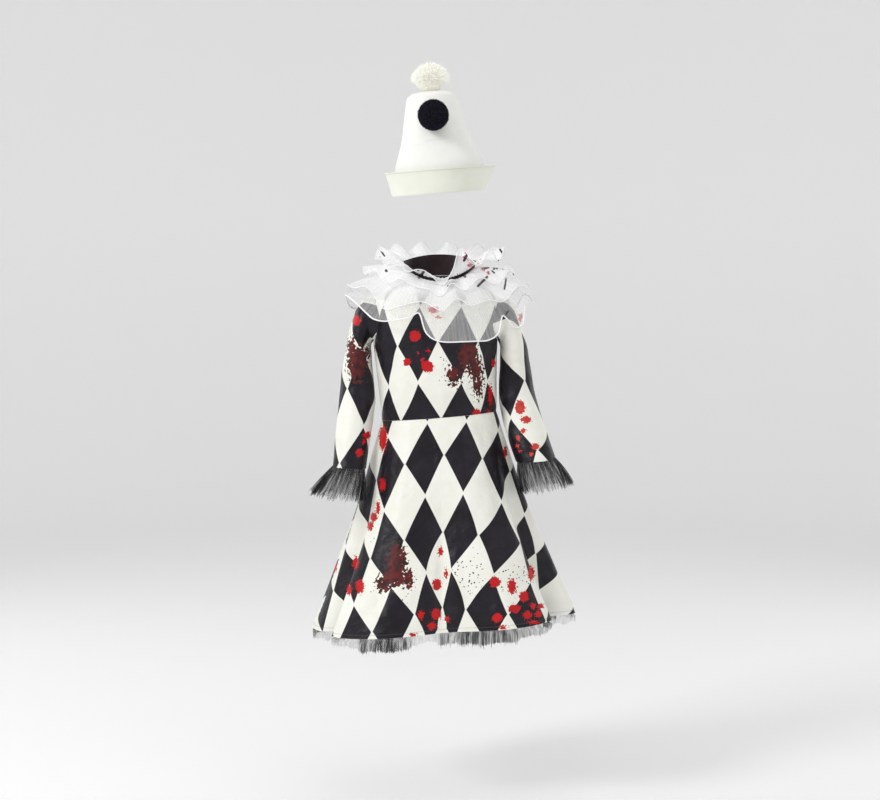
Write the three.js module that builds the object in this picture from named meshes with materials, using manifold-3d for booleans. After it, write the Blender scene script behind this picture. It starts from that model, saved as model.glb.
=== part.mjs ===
// A child's pierrot costume, hollow as it is worn: harlequin dress with net frills, organza ruff, cone hat.
// Millimetres, +Z up, the front faces -Y. The origin is the middle of the neck base.
// Angles run round the body: 0 is the middle of the front, 90 the +X side, 180 the middle of the back.
import * as THREE from "three";
import { mergeVertices } from "three/addons/utils/BufferGeometryUtils.js";
import Module from "manifold-3d";

// Walls and seams
const SATIN_WALL = 1.6;
const NET_WALL = 1.0;
const ORGANZA_WALL = 1.0;
const FELT_WALL = 2.0;
const SEAM_GAP = 0.3;

// Angles of the side seams and of the centre back
const SIDE_SEAM = 90;
const CENTRE_BACK = 180;

// Bodice, from the waist seam (place 0) over the shoulder to the neck edge (place 1)
const TORSO = [
  { place: 0.0, middle: -2, halfWidth: 115, front: 88, back: 82, sideZ: -264, frontZ: -264, backZ: -264 },
  { place: 0.18, middle: -4, halfWidth: 117, front: 92, back: 86, sideZ: -215, frontZ: -215, backZ: -215 },
  { place: 0.36, middle: -7, halfWidth: 121, front: 96, back: 89, sideZ: -160, frontZ: -160, backZ: -160 },
  { place: 0.5, middle: -9, halfWidth: 124, front: 97, back: 91, sideZ: -115, frontZ: -115, backZ: -115 },
  { place: 0.62, middle: -8, halfWidth: 126, front: 94, back: 91, sideZ: -74, frontZ: -76, backZ: -74 },
  { place: 0.74, middle: -6, halfWidth: 126, front: 86, back: 86, sideZ: -38, frontZ: -50, backZ: -44 },
  { place: 0.84, middle: -3, halfWidth: 106, front: 75, back: 76, sideZ: -17, frontZ: -34, backZ: -20 },
  { place: 1.0, middle: 0, halfWidth: 62, front: 60, back: 58, sideZ: 8, frontZ: -14, backZ: 16 },
];
// How much each row rises towards +X, from the leaning waist up to the level chest
const TORSO_LEAN = [
  { place: 0.0, lean: 0.08 },
  { place: 0.18, lean: 0.06 },
  { place: 0.36, lean: 0.04 },
  { place: 0.5, lean: 0.02 },
  { place: 0.62, lean: 0 },
  { place: 1.0, lean: 0 },
];
const CHEST_SQUARENESS = 0.9;
const ARMHOLE = { bottom: 0.5, top: 0.765, halfAngle: 29 };
const ARMHOLE_STEPS = 10;
const ROWS_BELOW_ARMHOLE = 5;
const ROWS_ABOVE_ARMHOLE = 3;
const HALF_ROUND = 12;

// Sleeves, a row for each section from the armhole to the cuff: its point next to the body, its outer point,
// half its depth and how far behind the middle (+Y) it lies
const SLEEVE_LEFT = [
  { place: 1, innerX: 136, innerZ: -119, outerX: 153, outerZ: -32, halfDepth: 45, midY: 1 },
  { place: 2, innerX: 137, innerZ: -122, outerX: 166, outerZ: -49, halfDepth: 47, midY: 1 },
  { place: 3, innerX: 138, innerZ: -127, outerX: 176, outerZ: -76, halfDepth: 48, midY: 2 },
  { place: 4, innerX: 138, innerZ: -135, outerX: 184, outerZ: -106, halfDepth: 48, midY: 3 },
  { place: 5, innerX: 137, innerZ: -150, outerX: 190, outerZ: -138, halfDepth: 46, midY: 4 },
  { place: 6, innerX: 134, innerZ: -177, outerX: 197, outerZ: -176, halfDepth: 43, midY: 5 },
  { place: 7, innerX: 131, innerZ: -207, outerX: 200, outerZ: -207, halfDepth: 41, midY: 4 },
  { place: 8, innerX: 130, innerZ: -240, outerX: 203, outerZ: -241, halfDepth: 39, midY: -3 },
  { place: 9, innerX: 134, innerZ: -278, outerX: 206, outerZ: -277, halfDepth: 37, midY: -18 },
  { place: 10, innerX: 140, innerZ: -322, outerX: 209, outerZ: -319, halfDepth: 35, midY: -37 },
  { place: 11, innerX: 146, innerZ: -366, outerX: 212, outerZ: -362, halfDepth: 33, midY: -54 },
];
const SLEEVE_RIGHT = [
  { place: 1, innerX: 118, innerZ: -119, outerX: 138, outerZ: -32, halfDepth: 45, midY: 1 },
  { place: 2, innerX: 119, innerZ: -122, outerX: 153, outerZ: -49, halfDepth: 47, midY: 1 },
  { place: 3, innerX: 120, innerZ: -127, outerX: 164, outerZ: -77, halfDepth: 48, midY: 2 },
  { place: 4, innerX: 120, innerZ: -135, outerX: 171, outerZ: -107, halfDepth: 48, midY: 3 },
  { place: 5, innerX: 120, innerZ: -150, outerX: 177, outerZ: -140, halfDepth: 46, midY: 4 },
  { place: 6, innerX: 119, innerZ: -178, outerX: 183, outerZ: -178, halfDepth: 44, midY: 5 },
  { place: 7, innerX: 118, innerZ: -208, outerX: 188, outerZ: -210, halfDepth: 42, midY: 4 },
  { place: 8, innerX: 119, innerZ: -241, outerX: 196, outerZ: -243, halfDepth: 41, midY: -3 },
  { place: 9, innerX: 126, innerZ: -277, outerX: 206, outerZ: -277, halfDepth: 40, midY: -18 },
  { place: 10, innerX: 137, innerZ: -314, outerX: 217, outerZ: -310, halfDepth: 40, midY: -35 },
  { place: 11, innerX: 150, innerZ: -353, outerX: 229, outerZ: -347, halfDepth: 39, midY: -52 },
];
const SLEEVE_COLUMNS = 2 * ARMHOLE_STEPS;

// Net frills at the cuffs, below the row where they are sewn into the sleeve end
const CUFF_NET_LEFT = [
  { place: 1, innerX: 150, innerZ: -396, outerX: 231, outerZ: -385, halfDepth: 41, midY: -66, wave: 4 },
  { place: 2, innerX: 154, innerZ: -434, outerX: 256, outerZ: -419, halfDepth: 54, midY: -82, wave: 7 },
];
const CUFF_NET_RIGHT = [
  { place: 1, innerX: 155, innerZ: -381, outerX: 245, outerZ: -369, halfDepth: 45, midY: -64, wave: 4 },
  { place: 2, innerX: 161, innerZ: -418, outerX: 262, outerZ: -400, halfDepth: 54, midY: -80, wave: 7 },
];
const CUFF_NET_WAVES = 10;
const CUFF_NET_SEWN_DEPTH = 9;
const NET_COLUMNS_PER_FACET = 2;

// Skirt, from the waist seam (place 0) to the hem (place 1)
const SKIRT = [
  { place: 0.0, middle: -2, halfWidth: 115, front: 88, back: 82, height: -264, lean: 0.08 },
  { place: 0.2, middle: -1, halfWidth: 138, front: 106, back: 101, height: -346, lean: 0.075 },
  { place: 0.45, middle: 2, halfWidth: 166, front: 131, back: 129, height: -449, lean: 0.07 },
  { place: 0.72, middle: 5, halfWidth: 204, front: 164, back: 163, height: -557, lean: 0.072 },
  { place: 1.0, middle: 9, halfWidth: 245, front: 197, back: 198, height: -672, lean: 0.075 },
];
// Skirt folds: ridges stand out from the flare and valleys lie in, by reach at the hem; drift slides a fold
// round the body, towards a larger angle
const SKIRT_FOLDS = [
  { angle: 2, reach: -26, drift: 0 },
  { angle: 24, reach: 16, drift: 6 },
  { angle: 44, reach: 12, drift: 10 },
  { angle: 62, reach: -24, drift: 0 },
  { angle: 82, reach: 24, drift: -8 },
  { angle: 104, reach: -24, drift: 0 },
  { angle: 126, reach: 24, drift: 6 },
  { angle: 148, reach: -26, drift: 0 },
  { angle: 168, reach: 22, drift: 4 },
  { angle: 188, reach: -22, drift: 0 },
  { angle: 210, reach: 26, drift: -6 },
  { angle: 234, reach: -24, drift: 0 },
  { angle: 256, reach: 22, drift: -4 },
  { angle: 277, reach: 10, drift: 8 },
  { angle: 296, reach: -26, drift: 0 },
  { angle: 314, reach: 20, drift: -10 },
  { angle: 338, reach: 14, drift: -6 },
];
const FOLD_GROWTH = 1.35;
const SKIRT_COLUMNS = 32;

// Net frill under the hem: rows from where it is sewn in to its lower edge, each further in and waving more;
// jags shorten its lower edge here and there
const HEM_NET_TOP = 0.86;
const HEM_NET_ROWS = [
  { place: HEM_NET_TOP, further: 0.2, wave: 0, drop: 0 },
  { place: 1, further: 3, wave: 2, drop: 0 },
  { place: 1, further: 5, wave: 4.8, drop: 34 },
];
const HEM_NET_JAGS = [0, 5, 2, 8, 3, 0, 6, 1];
const SKIRT_ROWS = [0, 0.1, 0.22, 0.36, 0.52, 0.7, HEM_NET_TOP, 1];

// Ruff: a stand band on the neck edge, from its lower edge (place 0) to its upper edge (place 1)
const RUFF_BAND = [
  { place: 0, halfWidth: 62, front: 60, back: 58, sideZ: 8, frontZ: -14, backZ: 16 },
  { place: 1, halfWidth: 73, front: 66, back: 66, sideZ: 44, frontZ: 12, backZ: 58 },
];
// Edges of its four frills, a row for each crest or trough: how far out and how high the edge lies
const RUFF_TOP = [
  { angle: 4, reach: 90, height: -4 },
  { angle: 16, reach: 84, height: 22 },
  { angle: 30, reach: 82, height: 66 },
  { angle: 44, reach: 108, height: 36 },
  { angle: 58, reach: 116, height: 66 },
  { angle: 71, reach: 122, height: 42 },
  { angle: 85, reach: 128, height: 72 },
  { angle: 99, reach: 128, height: 50 },
  { angle: 113, reach: 124, height: 78 },
  { angle: 127, reach: 124, height: 58 },
  { angle: 141, reach: 118, height: 84 },
  { angle: 155, reach: 122, height: 62 },
  { angle: 170, reach: 114, height: 86 },
  { angle: 185, reach: 120, height: 64 },
  { angle: 200, reach: 114, height: 86 },
  { angle: 215, reach: 122, height: 62 },
  { angle: 229, reach: 118, height: 82 },
  { angle: 243, reach: 126, height: 56 },
  { angle: 257, reach: 124, height: 76 },
  { angle: 270, reach: 130, height: 46 },
  { angle: 283, reach: 124, height: 64 },
  { angle: 296, reach: 120, height: 34 },
  { angle: 309, reach: 110, height: 44 },
  { angle: 321, reach: 104, height: 22 },
  { angle: 333, reach: 96, height: 26 },
  { angle: 346, reach: 88, height: 18 },
];
const RUFF_UPPER = [
  { angle: 1, reach: 103, height: -26 },
  { angle: 13, reach: 100, height: -2 },
  { angle: 27, reach: 110, height: -14 },
  { angle: 42, reach: 118, height: 10 },
  { angle: 57, reach: 132, height: -4 },
  { angle: 72, reach: 144, height: 24 },
  { angle: 88, reach: 154, height: 10 },
  { angle: 104, reach: 148, height: 34 },
  { angle: 120, reach: 146, height: 14 },
  { angle: 136, reach: 138, height: 36 },
  { angle: 152, reach: 138, height: 14 },
  { angle: 168, reach: 132, height: 36 },
  { angle: 184, reach: 136, height: 16 },
  { angle: 200, reach: 132, height: 38 },
  { angle: 216, reach: 140, height: 14 },
  { angle: 232, reach: 140, height: 34 },
  { angle: 248, reach: 150, height: 10 },
  { angle: 263, reach: 154, height: 34 },
  { angle: 278, reach: 150, height: 18 },
  { angle: 293, reach: 138, height: 24 },
  { angle: 307, reach: 128, height: -2 },
  { angle: 318, reach: 116, height: 8 },
  { angle: 334, reach: 106, height: -8 },
  { angle: 349, reach: 102, height: -14 },
];
const RUFF_MIDDLE = [
  { angle: 2, reach: 124, height: -54 },
  { angle: 15, reach: 124, height: -32 },
  { angle: 27, reach: 130, height: -44 },
  { angle: 43, reach: 138, height: -34 },
  { angle: 57, reach: 148, height: -36 },
  { angle: 72, reach: 164, height: -6 },
  { angle: 87, reach: 182, height: -16 },
  { angle: 103, reach: 172, height: 4 },
  { angle: 120, reach: 166, height: -24 },
  { angle: 137, reach: 156, height: -2 },
  { angle: 154, reach: 154, height: -28 },
  { angle: 171, reach: 148, height: -4 },
  { angle: 188, reach: 152, height: -28 },
  { angle: 205, reach: 150, height: -4 },
  { angle: 222, reach: 160, height: -26 },
  { angle: 239, reach: 162, height: 0 },
  { angle: 256, reach: 176, height: -20 },
  { angle: 271, reach: 184, height: -4 },
  { angle: 284, reach: 174, height: -10 },
  { angle: 297, reach: 160, height: -8 },
  { angle: 311, reach: 146, height: -50 },
  { angle: 324, reach: 134, height: -46 },
  { angle: 336, reach: 126, height: -38 },
  { angle: 348, reach: 122, height: -40 },
];
const RUFF_BOTTOM = [
  { angle: 10, reach: 142, height: -114 },
  { angle: 30, reach: 146, height: -113 },
  { angle: 40, reach: 150, height: -110 },
  { angle: 49, reach: 152, height: -96 },
  { angle: 55, reach: 150, height: -64 },
  { angle: 62, reach: 162, height: -86 },
  { angle: 69, reach: 174, height: -80 },
  { angle: 76, reach: 174, height: -40 },
  { angle: 92, reach: 186, height: -42 },
  { angle: 108, reach: 178, height: -24 },
  { angle: 124, reach: 170, height: -76 },
  { angle: 140, reach: 158, height: -56 },
  { angle: 156, reach: 156, height: -92 },
  { angle: 173, reach: 148, height: -66 },
  { angle: 190, reach: 154, height: -94 },
  { angle: 207, reach: 150, height: -64 },
  { angle: 224, reach: 162, height: -88 },
  { angle: 241, reach: 166, height: -50 },
  { angle: 257, reach: 182, height: -50 },
  { angle: 272, reach: 188, height: -26 },
  { angle: 285, reach: 178, height: -34 },
  { angle: 296, reach: 164, height: -56 },
  { angle: 307, reach: 158, height: -72 },
  { angle: 323, reach: 148, height: -73 },
  { angle: 335, reach: 142, height: -67 },
  { angle: 342, reach: 130, height: -60 },
  { angle: 349, reach: 140, height: -97 },
  { angle: 358, reach: 141, height: -112 },
];
const FRILLS = [
  { name: "ruff_top", edge: RUFF_TOP, sewnAt: 0.88, columns: 52, rows: 2, fall: 1.1, arch: 4 },
  { name: "ruff_upper", edge: RUFF_UPPER, sewnAt: 0.62, columns: 52, rows: 2, fall: 1.2, arch: 5 },
  { name: "ruff_middle", edge: RUFF_MIDDLE, sewnAt: 0.36, columns: 60, rows: 2, fall: 1.35, arch: 5 },
  { name: "ruff_bottom", edge: RUFF_BOTTOM, sewnAt: 0.1, columns: 80, rows: 3, fall: 1.5, arch: 6 },
];

// Hat: sections of the cone from the opening to the crown, sections of the turned-up brim, and its tilt
const HAT_CONE = [
  { place: 0, height: 179, middle: -2, radius: 90.8 },
  { place: 1, height: 207, middle: -1.5, radius: 89.5 },
  { place: 2, height: 232, middle: -1, radius: 88 },
  { place: 3, height: 283, middle: -8, radius: 70 },
  { place: 4, height: 333, middle: -14, radius: 57 },
  { place: 5, height: 367, middle: -18, radius: 48 },
  { place: 6, height: 376, middle: -19, radius: 38 },
];
const HAT_CROWN_RISE = 3;
const HAT_BRIM = [
  { place: 0, height: 178, middle: -2, radius: 93 },
  { place: 1, height: 194, middle: -1.5, radius: 98 },
  { place: 2, height: 211, middle: 0, radius: 104 },
  { place: 3, height: 226, middle: 1, radius: 110 },
];
const HAT_DEPTH_SHARE = 1.04;
const HAT_LEAN = 0.075;
const HAT_PITCH = 0.055;
const HAT_COLUMNS = 28;

// Pompoms: a ball core with pointed locks of yarn, whose roots are in the core
const POMPOM_CORE = 26;
const POMPOM_REACH = 34;
const CORE_SLICES = 12;
const CORE_RINGS = 8;
const LOCKS = 42;
const LOCK_BASE = 7.5;
const LOCK_ROOT = 8;
const LOCK_SIDES = 4;
const GOLDEN_TURN = Math.PI * (3 - Math.sqrt(5));
const NO_LOCK_TOWARDS_HAT = 0.42;
// Where the black pompom sits on the front of the cone, as a place between the sections of the cone
const BLACK_POMPOM_PLACE = 3.74;

// Materials
const satin = new THREE.MeshStandardMaterial({ color: 0xdcdcd0, roughness: 0.45, metalness: 0 });
const blackNet = new THREE.MeshStandardMaterial({ color: 0x1c1a1f, roughness: 0.8, metalness: 0 });
const organza = new THREE.MeshStandardMaterial({ color: 0xf2f2f2, roughness: 0.5, metalness: 0 });
const ribbon = new THREE.MeshStandardMaterial({ color: 0x2a1a1e, roughness: 0.5, metalness: 0 });
const felt = new THREE.MeshStandardMaterial({ color: 0xf1f2e6, roughness: 0.9, metalness: 0 });
const blackYarn = new THREE.MeshStandardMaterial({ color: 0x14141c, roughness: 0.95, metalness: 0 });
const creamYarn = new THREE.MeshStandardMaterial({ color: 0xf0eedd, roughness: 0.95, metalness: 0 });

const radians = THREE.MathUtils.degToRad;

// One column of a table at a place between its rows, on a smooth curve through them.
function smooth(rows, at, place, name) {
  let k = 0;
  while (k < rows.length - 2 && place > rows[k + 1][at]) k += 1;
  const before = rows[Math.max(k - 1, 0)];
  const low = rows[k];
  const high = rows[k + 1];
  const after = rows[Math.min(k + 2, rows.length - 1)];
  const span = high[at] - low[at];
  const share = (place - low[at]) / span;
  const leaving = ((high[name] - before[name]) / (high[at] - before[at])) * span;
  const arriving = ((after[name] - low[name]) / (after[at] - low[at])) * span;
  const square = share * share;
  const cube = square * share;
  return (
    (2 * cube - 3 * square + 1) * low[name] +
    (cube - 2 * square + share) * leaving +
    (3 * square - 2 * cube) * high[name] +
    (cube - square) * arriving
  );
}

// A table by angle, with its ends repeated so that it runs on all round.
function allRound(rows) {
  const turned = (row, turn) => ({ ...row, angle: row.angle + turn });
  const ends = 3;
  return [
    ...rows.slice(-ends).map((row) => turned(row, -360)),
    ...rows,
    ...rows.slice(0, ends).map((row) => turned(row, 360)),
  ];
}

// A height round the body that goes from the side's through the front's or the back's.
function heightRound(angle, sideZ, frontZ, backZ) {
  const ahead = Math.cos(radians(angle));
  const end = ahead > 0 ? frontZ : backZ;
  return sideZ + (end - sideZ) * ahead * ahead;
}

// Point on a rounded section of the body.
function around(angle, halfWidth, front, back, squareness) {
  const across = Math.sin(radians(angle));
  const ahead = Math.cos(radians(angle));
  const x = halfWidth * Math.sign(across) * Math.abs(across) ** squareness;
  const depth = ahead > 0 ? front : back;
  return { x, y: -depth * Math.sign(ahead) * Math.abs(ahead) ** squareness };
}

function torso(angle, place) {
  const value = (name) => smooth(TORSO, "place", place, name);
  const { x, y } = around(angle, value("halfWidth"), value("front"), value("back"), CHEST_SQUARENESS);
  const z = heightRound(angle, value("sideZ"), value("frontZ"), value("backZ"));
  return new THREE.Vector3(value("middle") + x, y, z + smooth(TORSO_LEAN, "place", place, "lean") * x);
}

const foldsRound = allRound(SKIRT_FOLDS);

function skirt(angle, place) {
  const value = (name) => smooth(SKIRT, "place", place, name);
  const turn = ((angle % 360) + 360) % 360;
  const growth = Math.max(place, 0) ** FOLD_GROWTH;
  const reach = growth * smooth(foldsRound, "angle", turn, "reach");
  const drift = growth * smooth(foldsRound, "angle", turn, "drift");
  const squareness = CHEST_SQUARENESS + (1 - CHEST_SQUARENESS) * Math.min(place, 1);
  const { x, y } = around(
    angle + drift,
    value("halfWidth") + reach,
    value("front") + reach,
    value("back") + reach,
    squareness,
  );
  return new THREE.Vector3(value("middle") + x, y, value("height") - SEAM_GAP + value("lean") * x);
}

// Direction square to a surface, out of the garment where its second place runs up, and its side is 1.
function facing(surface, side = 1) {
  const step = 1e-3;
  return (u, v) => {
    const along = surface(u + step, v).sub(surface(u - step, v));
    const up = surface(u, v + step).sub(surface(u, v - step));
    return along.cross(up).normalize().multiplyScalar(side);
  };
}

// A closed geometry from points and faces, turned so that its faces point out.
function closedGeometry(points, faces) {
  const volume = faces.reduce(
    (sum, [a, b, c]) => sum + points[a].dot(new THREE.Vector3().crossVectors(points[b], points[c])),
    0,
  );
  const order = volume < 0 ? faces.map(([a, b, c]) => [a, c, b]) : faces;
  const geometry = new THREE.BufferGeometry();
  geometry.setFromPoints(points);
  geometry.setIndex(order.flat());
  geometry.computeVertexNormals();
  return geometry;
}

// A wall of cloth over a grid of places: outer points, inner points one thickness behind, and its edges.
// Both sides split each facet along the same diagonal, so that the wall stays even where the cloth twists.
// A closed wall runs all round, and a crown closes its last row in one point.
function wall({ point, normal, across, up, thickness, closed = false, crown = null }) {
  const points = [];
  const layer = (depth) =>
    up.map((v) =>
      across.map((u) => points.push(point(u, v).addScaledVector(normal(u, v), -depth)) - 1),
    );
  const outer = layer(0);
  const inner = layer(thickness);
  const faces = [];
  const quad = (a, b, c, d) => faces.push([a, b, c], [a, c, d]);
  const spans = closed ? across.length : across.length - 1;
  const next = (j) => (j + 1) % across.length;
  for (let i = 0; i < up.length - 1; i += 1) {
    for (let j = 0; j < spans; j += 1) {
      quad(outer[i][j], outer[i][next(j)], outer[i + 1][next(j)], outer[i + 1][j]);
      quad(inner[i + 1][next(j)], inner[i][next(j)], inner[i][j], inner[i + 1][j]);
    }
  }
  const last = up.length - 1;
  for (let j = 0; j < spans; j += 1) {
    quad(inner[0][j], inner[0][next(j)], outer[0][next(j)], outer[0][j]);
    if (!crown) quad(outer[last][j], outer[last][next(j)], inner[last][next(j)], inner[last][j]);
  }
  if (crown) {
    const top = points.push(crown.clone()) - 1;
    const under = points.push(crown.clone().setZ(crown.z - thickness)) - 1;
    for (let j = 0; j < spans; j += 1) {
      faces.push([outer[last][j], outer[last][next(j)], top]);
      faces.push([inner[last][next(j)], inner[last][j], under]);
    }
  }
  if (!closed) {
    const end = across.length - 1;
    for (let i = 0; i < last; i += 1) {
      quad(outer[i][0], outer[i + 1][0], inner[i + 1][0], inner[i][0]);
      quad(inner[i][end], inner[i + 1][end], outer[i + 1][end], outer[i][end]);
    }
  }
  return closedGeometry(points, faces);
}

const evenly = (count, from, to) =>
  Array.from({ length: count + 1 }, (_, k) => from + ((to - from) * k) / count);
const roundTo = (count) => evenly(count, 0, 360).slice(0, count);

const costume = new THREE.Group();
costume.name = "pierrot_costume";

function add(name, geometry, material) {
  const mesh = new THREE.Mesh(geometry, material);
  mesh.name = name;
  costume.add(mesh);
  return mesh;
}

// Bodice: rows of places, closer together where the armhole turns
const armholeMiddle = (ARMHOLE.bottom + ARMHOLE.top) / 2;
const armholeHalf = (ARMHOLE.top - ARMHOLE.bottom) / 2;
const armholeRow = (turn) => armholeMiddle + armholeHalf * Math.sin(radians(turn));
const bodiceRows = [
  ...evenly(ROWS_BELOW_ARMHOLE, 0, ARMHOLE.bottom),
  ...evenly(ARMHOLE_STEPS, -90, 90).slice(1, -1).map(armholeRow),
  ...evenly(ROWS_ABOVE_ARMHOLE, ARMHOLE.top, 1),
];

// How far round from the side seam's line the armhole cuts into a panel, in degrees.
function armholeCut(place) {
  const off = (place - armholeMiddle) / armholeHalf;
  return Math.abs(off) >= 1 ? 0 : ARMHOLE.halfAngle * Math.sqrt(1 - off * off);
}

const torsoFacing = facing(torso);
const gapAngle = (place) => THREE.MathUtils.radToDeg(SEAM_GAP / 2 / torso(SIDE_SEAM, place).x);

// A bodice panel between two seams; it draws back from the side seam's line where the armhole is.
function bodicePanel(name, columns, fromAngle, toAngle) {
  const bounds = (place) => {
    const drawn = armholeCut(place) + gapAngle(place);
    const plain = gapAngle(place);
    const from = Math.abs(fromAngle) === CENTRE_BACK ? fromAngle + plain : fromAngle + drawn;
    const to = Math.abs(toAngle) === CENTRE_BACK ? toAngle - plain : toAngle - drawn;
    return (share) => from + (to - from) * share;
  };
  const geometry = wall({
    point: (share, place) => torso(bounds(place)(share), place),
    normal: (share, place) => torsoFacing(bounds(place)(share), place),
    across: evenly(columns, 0, 1),
    up: bodiceRows,
    thickness: SATIN_WALL,
  });
  add(name, geometry, satin);
}
bodicePanel("bodice_front", HALF_ROUND, -SIDE_SEAM, SIDE_SEAM);
bodicePanel("bodice_back_right", HALF_ROUND / 2, SIDE_SEAM, CENTRE_BACK);
bodicePanel("bodice_back_left", HALF_ROUND / 2, -CENTRE_BACK, -SIDE_SEAM);

// Sleeves: turn 0 is the outer line of the sleeve and 180 the line next to the body; side is -1 on the left
function armSection(rows, side) {
  return (turn, place) => {
    const value = (name) => smooth(rows, "place", place, name);
    const share = (1 + Math.cos(radians(turn))) / 2;
    const x = value("innerX") + (value("outerX") - value("innerX")) * share;
    const z = value("innerZ") + (value("outerZ") - value("innerZ")) * share;
    const y = value("midY") - value("halfDepth") * Math.sin(radians(turn));
    return new THREE.Vector3(side * x, y, z);
  };
}

function armholeLoop(side) {
  return (turn) => {
    const place = armholeMiddle + armholeHalf * Math.cos(radians(turn));
    const angle = side * (SIDE_SEAM - ARMHOLE.halfAngle * Math.sin(radians(turn)));
    return torso(angle, place).addScaledVector(torsoFacing(angle, place), SEAM_GAP);
  };
}

function sleeveSurface(rows, side) {
  const loop = armholeLoop(side);
  const section = armSection(rows, side);
  return (turn, place) =>
    place < 1 ? loop(turn).lerp(section(turn, 1), place) : section(turn, place);
}

function sleeve(name, rows, side) {
  const surface = sleeveSurface(rows, side);
  add(
    name,
    wall({
      point: surface,
      normal: facing(surface, side),
      across: roundTo(SLEEVE_COLUMNS),
      up: evenly(rows.length, 0, rows.length),
      thickness: SATIN_WALL,
      closed: true,
    }),
    satin,
  );
}
sleeve("sleeve_left", SLEEVE_LEFT, -1);
sleeve("sleeve_right", SLEEVE_RIGHT, 1);

// Cuff nets: the sewn rows lie inside the sleeve end on its own facets, then the net waves and flares
function cuffNet(name, sleeveRows, netRows, side) {
  const sleeveEnd = sleeveRows.length;
  const sewn = sleeveSurface(sleeveRows, side);
  const sewnFacing = facing(sewn, side);
  const facet = 360 / SLEEVE_COLUMNS;
  const endRow = sleeveRows[sleeveRows.length - 1];
  const beforeRow = sleeveRows[sleeveRows.length - 2];
  const sewnUp = CUFF_NET_SEWN_DEPTH / (beforeRow.outerZ - endRow.outerZ);
  const inset = SATIN_WALL + SEAM_GAP;
  const insidePoint = (turn, place) => sewn(turn, place).addScaledVector(sewnFacing(turn, place), -inset);
  const onFacet = (turn, place) => {
    const low = Math.floor(turn / facet) * facet;
    return insidePoint(low, place).lerp(insidePoint(low + facet, place), (turn - low) / facet);
  };
  const flare = armSection(netRows, side);
  const flareFacing = facing(flare, side);
  const wave = (turn, place) =>
    smooth(netRows, "place", place, "wave") * Math.sin(radians(turn * CUFF_NET_WAVES));
  const flared = (turn, place) =>
    flare(turn, place).addScaledVector(flareFacing(turn, place), wave(turn, place));
  const point = (turn, step) => {
    if (step === 0) return onFacet(turn, sleeveEnd - sewnUp);
    if (step === 1) return onFacet(turn, sleeveEnd);
    return flared(turn, step - 1);
  };
  const normal = (turn, step) =>
    step < 2 ? sewnFacing(turn, sleeveEnd) : flareFacing(turn, step - 1);
  add(
    name,
    wall({
      point,
      normal,
      across: roundTo(SLEEVE_COLUMNS * NET_COLUMNS_PER_FACET),
      up: evenly(netRows.length + 1, 0, netRows.length + 1),
      thickness: NET_WALL,
      closed: true,
    }),
    blackNet,
  );
}
cuffNet("cuff_net_left", SLEEVE_LEFT, CUFF_NET_LEFT, -1);
cuffNet("cuff_net_right", SLEEVE_RIGHT, CUFF_NET_RIGHT, 1);

// Skirt: two panels on one flared and folded surface
const skirtFacing = facing(skirt, -1);
function skirtPanel(name, fromAngle, toAngle) {
  const at = (share, place) => {
    const gap = THREE.MathUtils.radToDeg(SEAM_GAP / 2 / skirt(SIDE_SEAM, place).x);
    return fromAngle + gap + (toAngle - fromAngle - 2 * gap) * share;
  };
  const geometry = wall({
    point: (share, place) => skirt(at(share, place), place),
    normal: (share, place) => skirtFacing(at(share, place), place),
    across: evenly(SKIRT_COLUMNS, 0, 1),
    up: SKIRT_ROWS,
    thickness: SATIN_WALL,
  });
  add(name, geometry, satin);
}
skirtPanel("skirt_front", -SIDE_SEAM, SIDE_SEAM);
skirtPanel("skirt_back", SIDE_SEAM, 360 - SIDE_SEAM);

// Hem net: sewn inside the skirt on its facets, then waving inwards below it, with an uneven lower edge
function hemNet() {
  const facet = 180 / SKIRT_COLUMNS;
  const columnAngle = facet / NET_COLUMNS_PER_FACET;
  const onFacet = (angle, place, inset) => {
    const low = Math.floor(angle / facet + 1e-9) * facet;
    const inside = (a) => skirt(a, place).addScaledVector(skirtFacing(a, place), -inset);
    return inside(low).lerp(inside(low + facet), (angle - low) / facet);
  };
  const inset = SATIN_WALL + SEAM_GAP;
  const point = (angle, step) => {
    const row = HEM_NET_ROWS[step];
    const column = Math.round(angle / columnAngle);
    const wave = row.wave * (1 - Math.cos((Math.PI * column) / NET_COLUMNS_PER_FACET));
    const made = onFacet(angle, row.place, inset + row.further + wave);
    if (row.drop > 0) made.z -= row.drop - HEM_NET_JAGS[column % HEM_NET_JAGS.length];
    return made;
  };
  add(
    "hem_net",
    wall({
      point,
      normal: (angle, step) => skirtFacing(angle, HEM_NET_ROWS[step].place),
      across: roundTo(360 / columnAngle),
      up: evenly(HEM_NET_ROWS.length - 1, 0, HEM_NET_ROWS.length - 1),
      thickness: NET_WALL,
      closed: true,
    }),
    blackNet,
  );
}
hemNet();

// Ruff band
function bandSurface(angle, place) {
  const value = (name) => smooth(RUFF_BAND, "place", place, name);
  const { x, y } = around(angle, value("halfWidth"), value("front"), value("back"), CHEST_SQUARENESS);
  const z = SEAM_GAP + heightRound(angle, value("sideZ"), value("frontZ"), value("backZ"));
  return new THREE.Vector3(x, y, z);
}
const bandFacing = facing(bandSurface);
add(
  "ruff_band",
  wall({
    point: bandSurface,
    normal: bandFacing,
    across: roundTo(2 * HALF_ROUND),
    up: evenly(2, 0, 1),
    thickness: SATIN_WALL,
    closed: true,
  }),
  ribbon,
);

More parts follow.
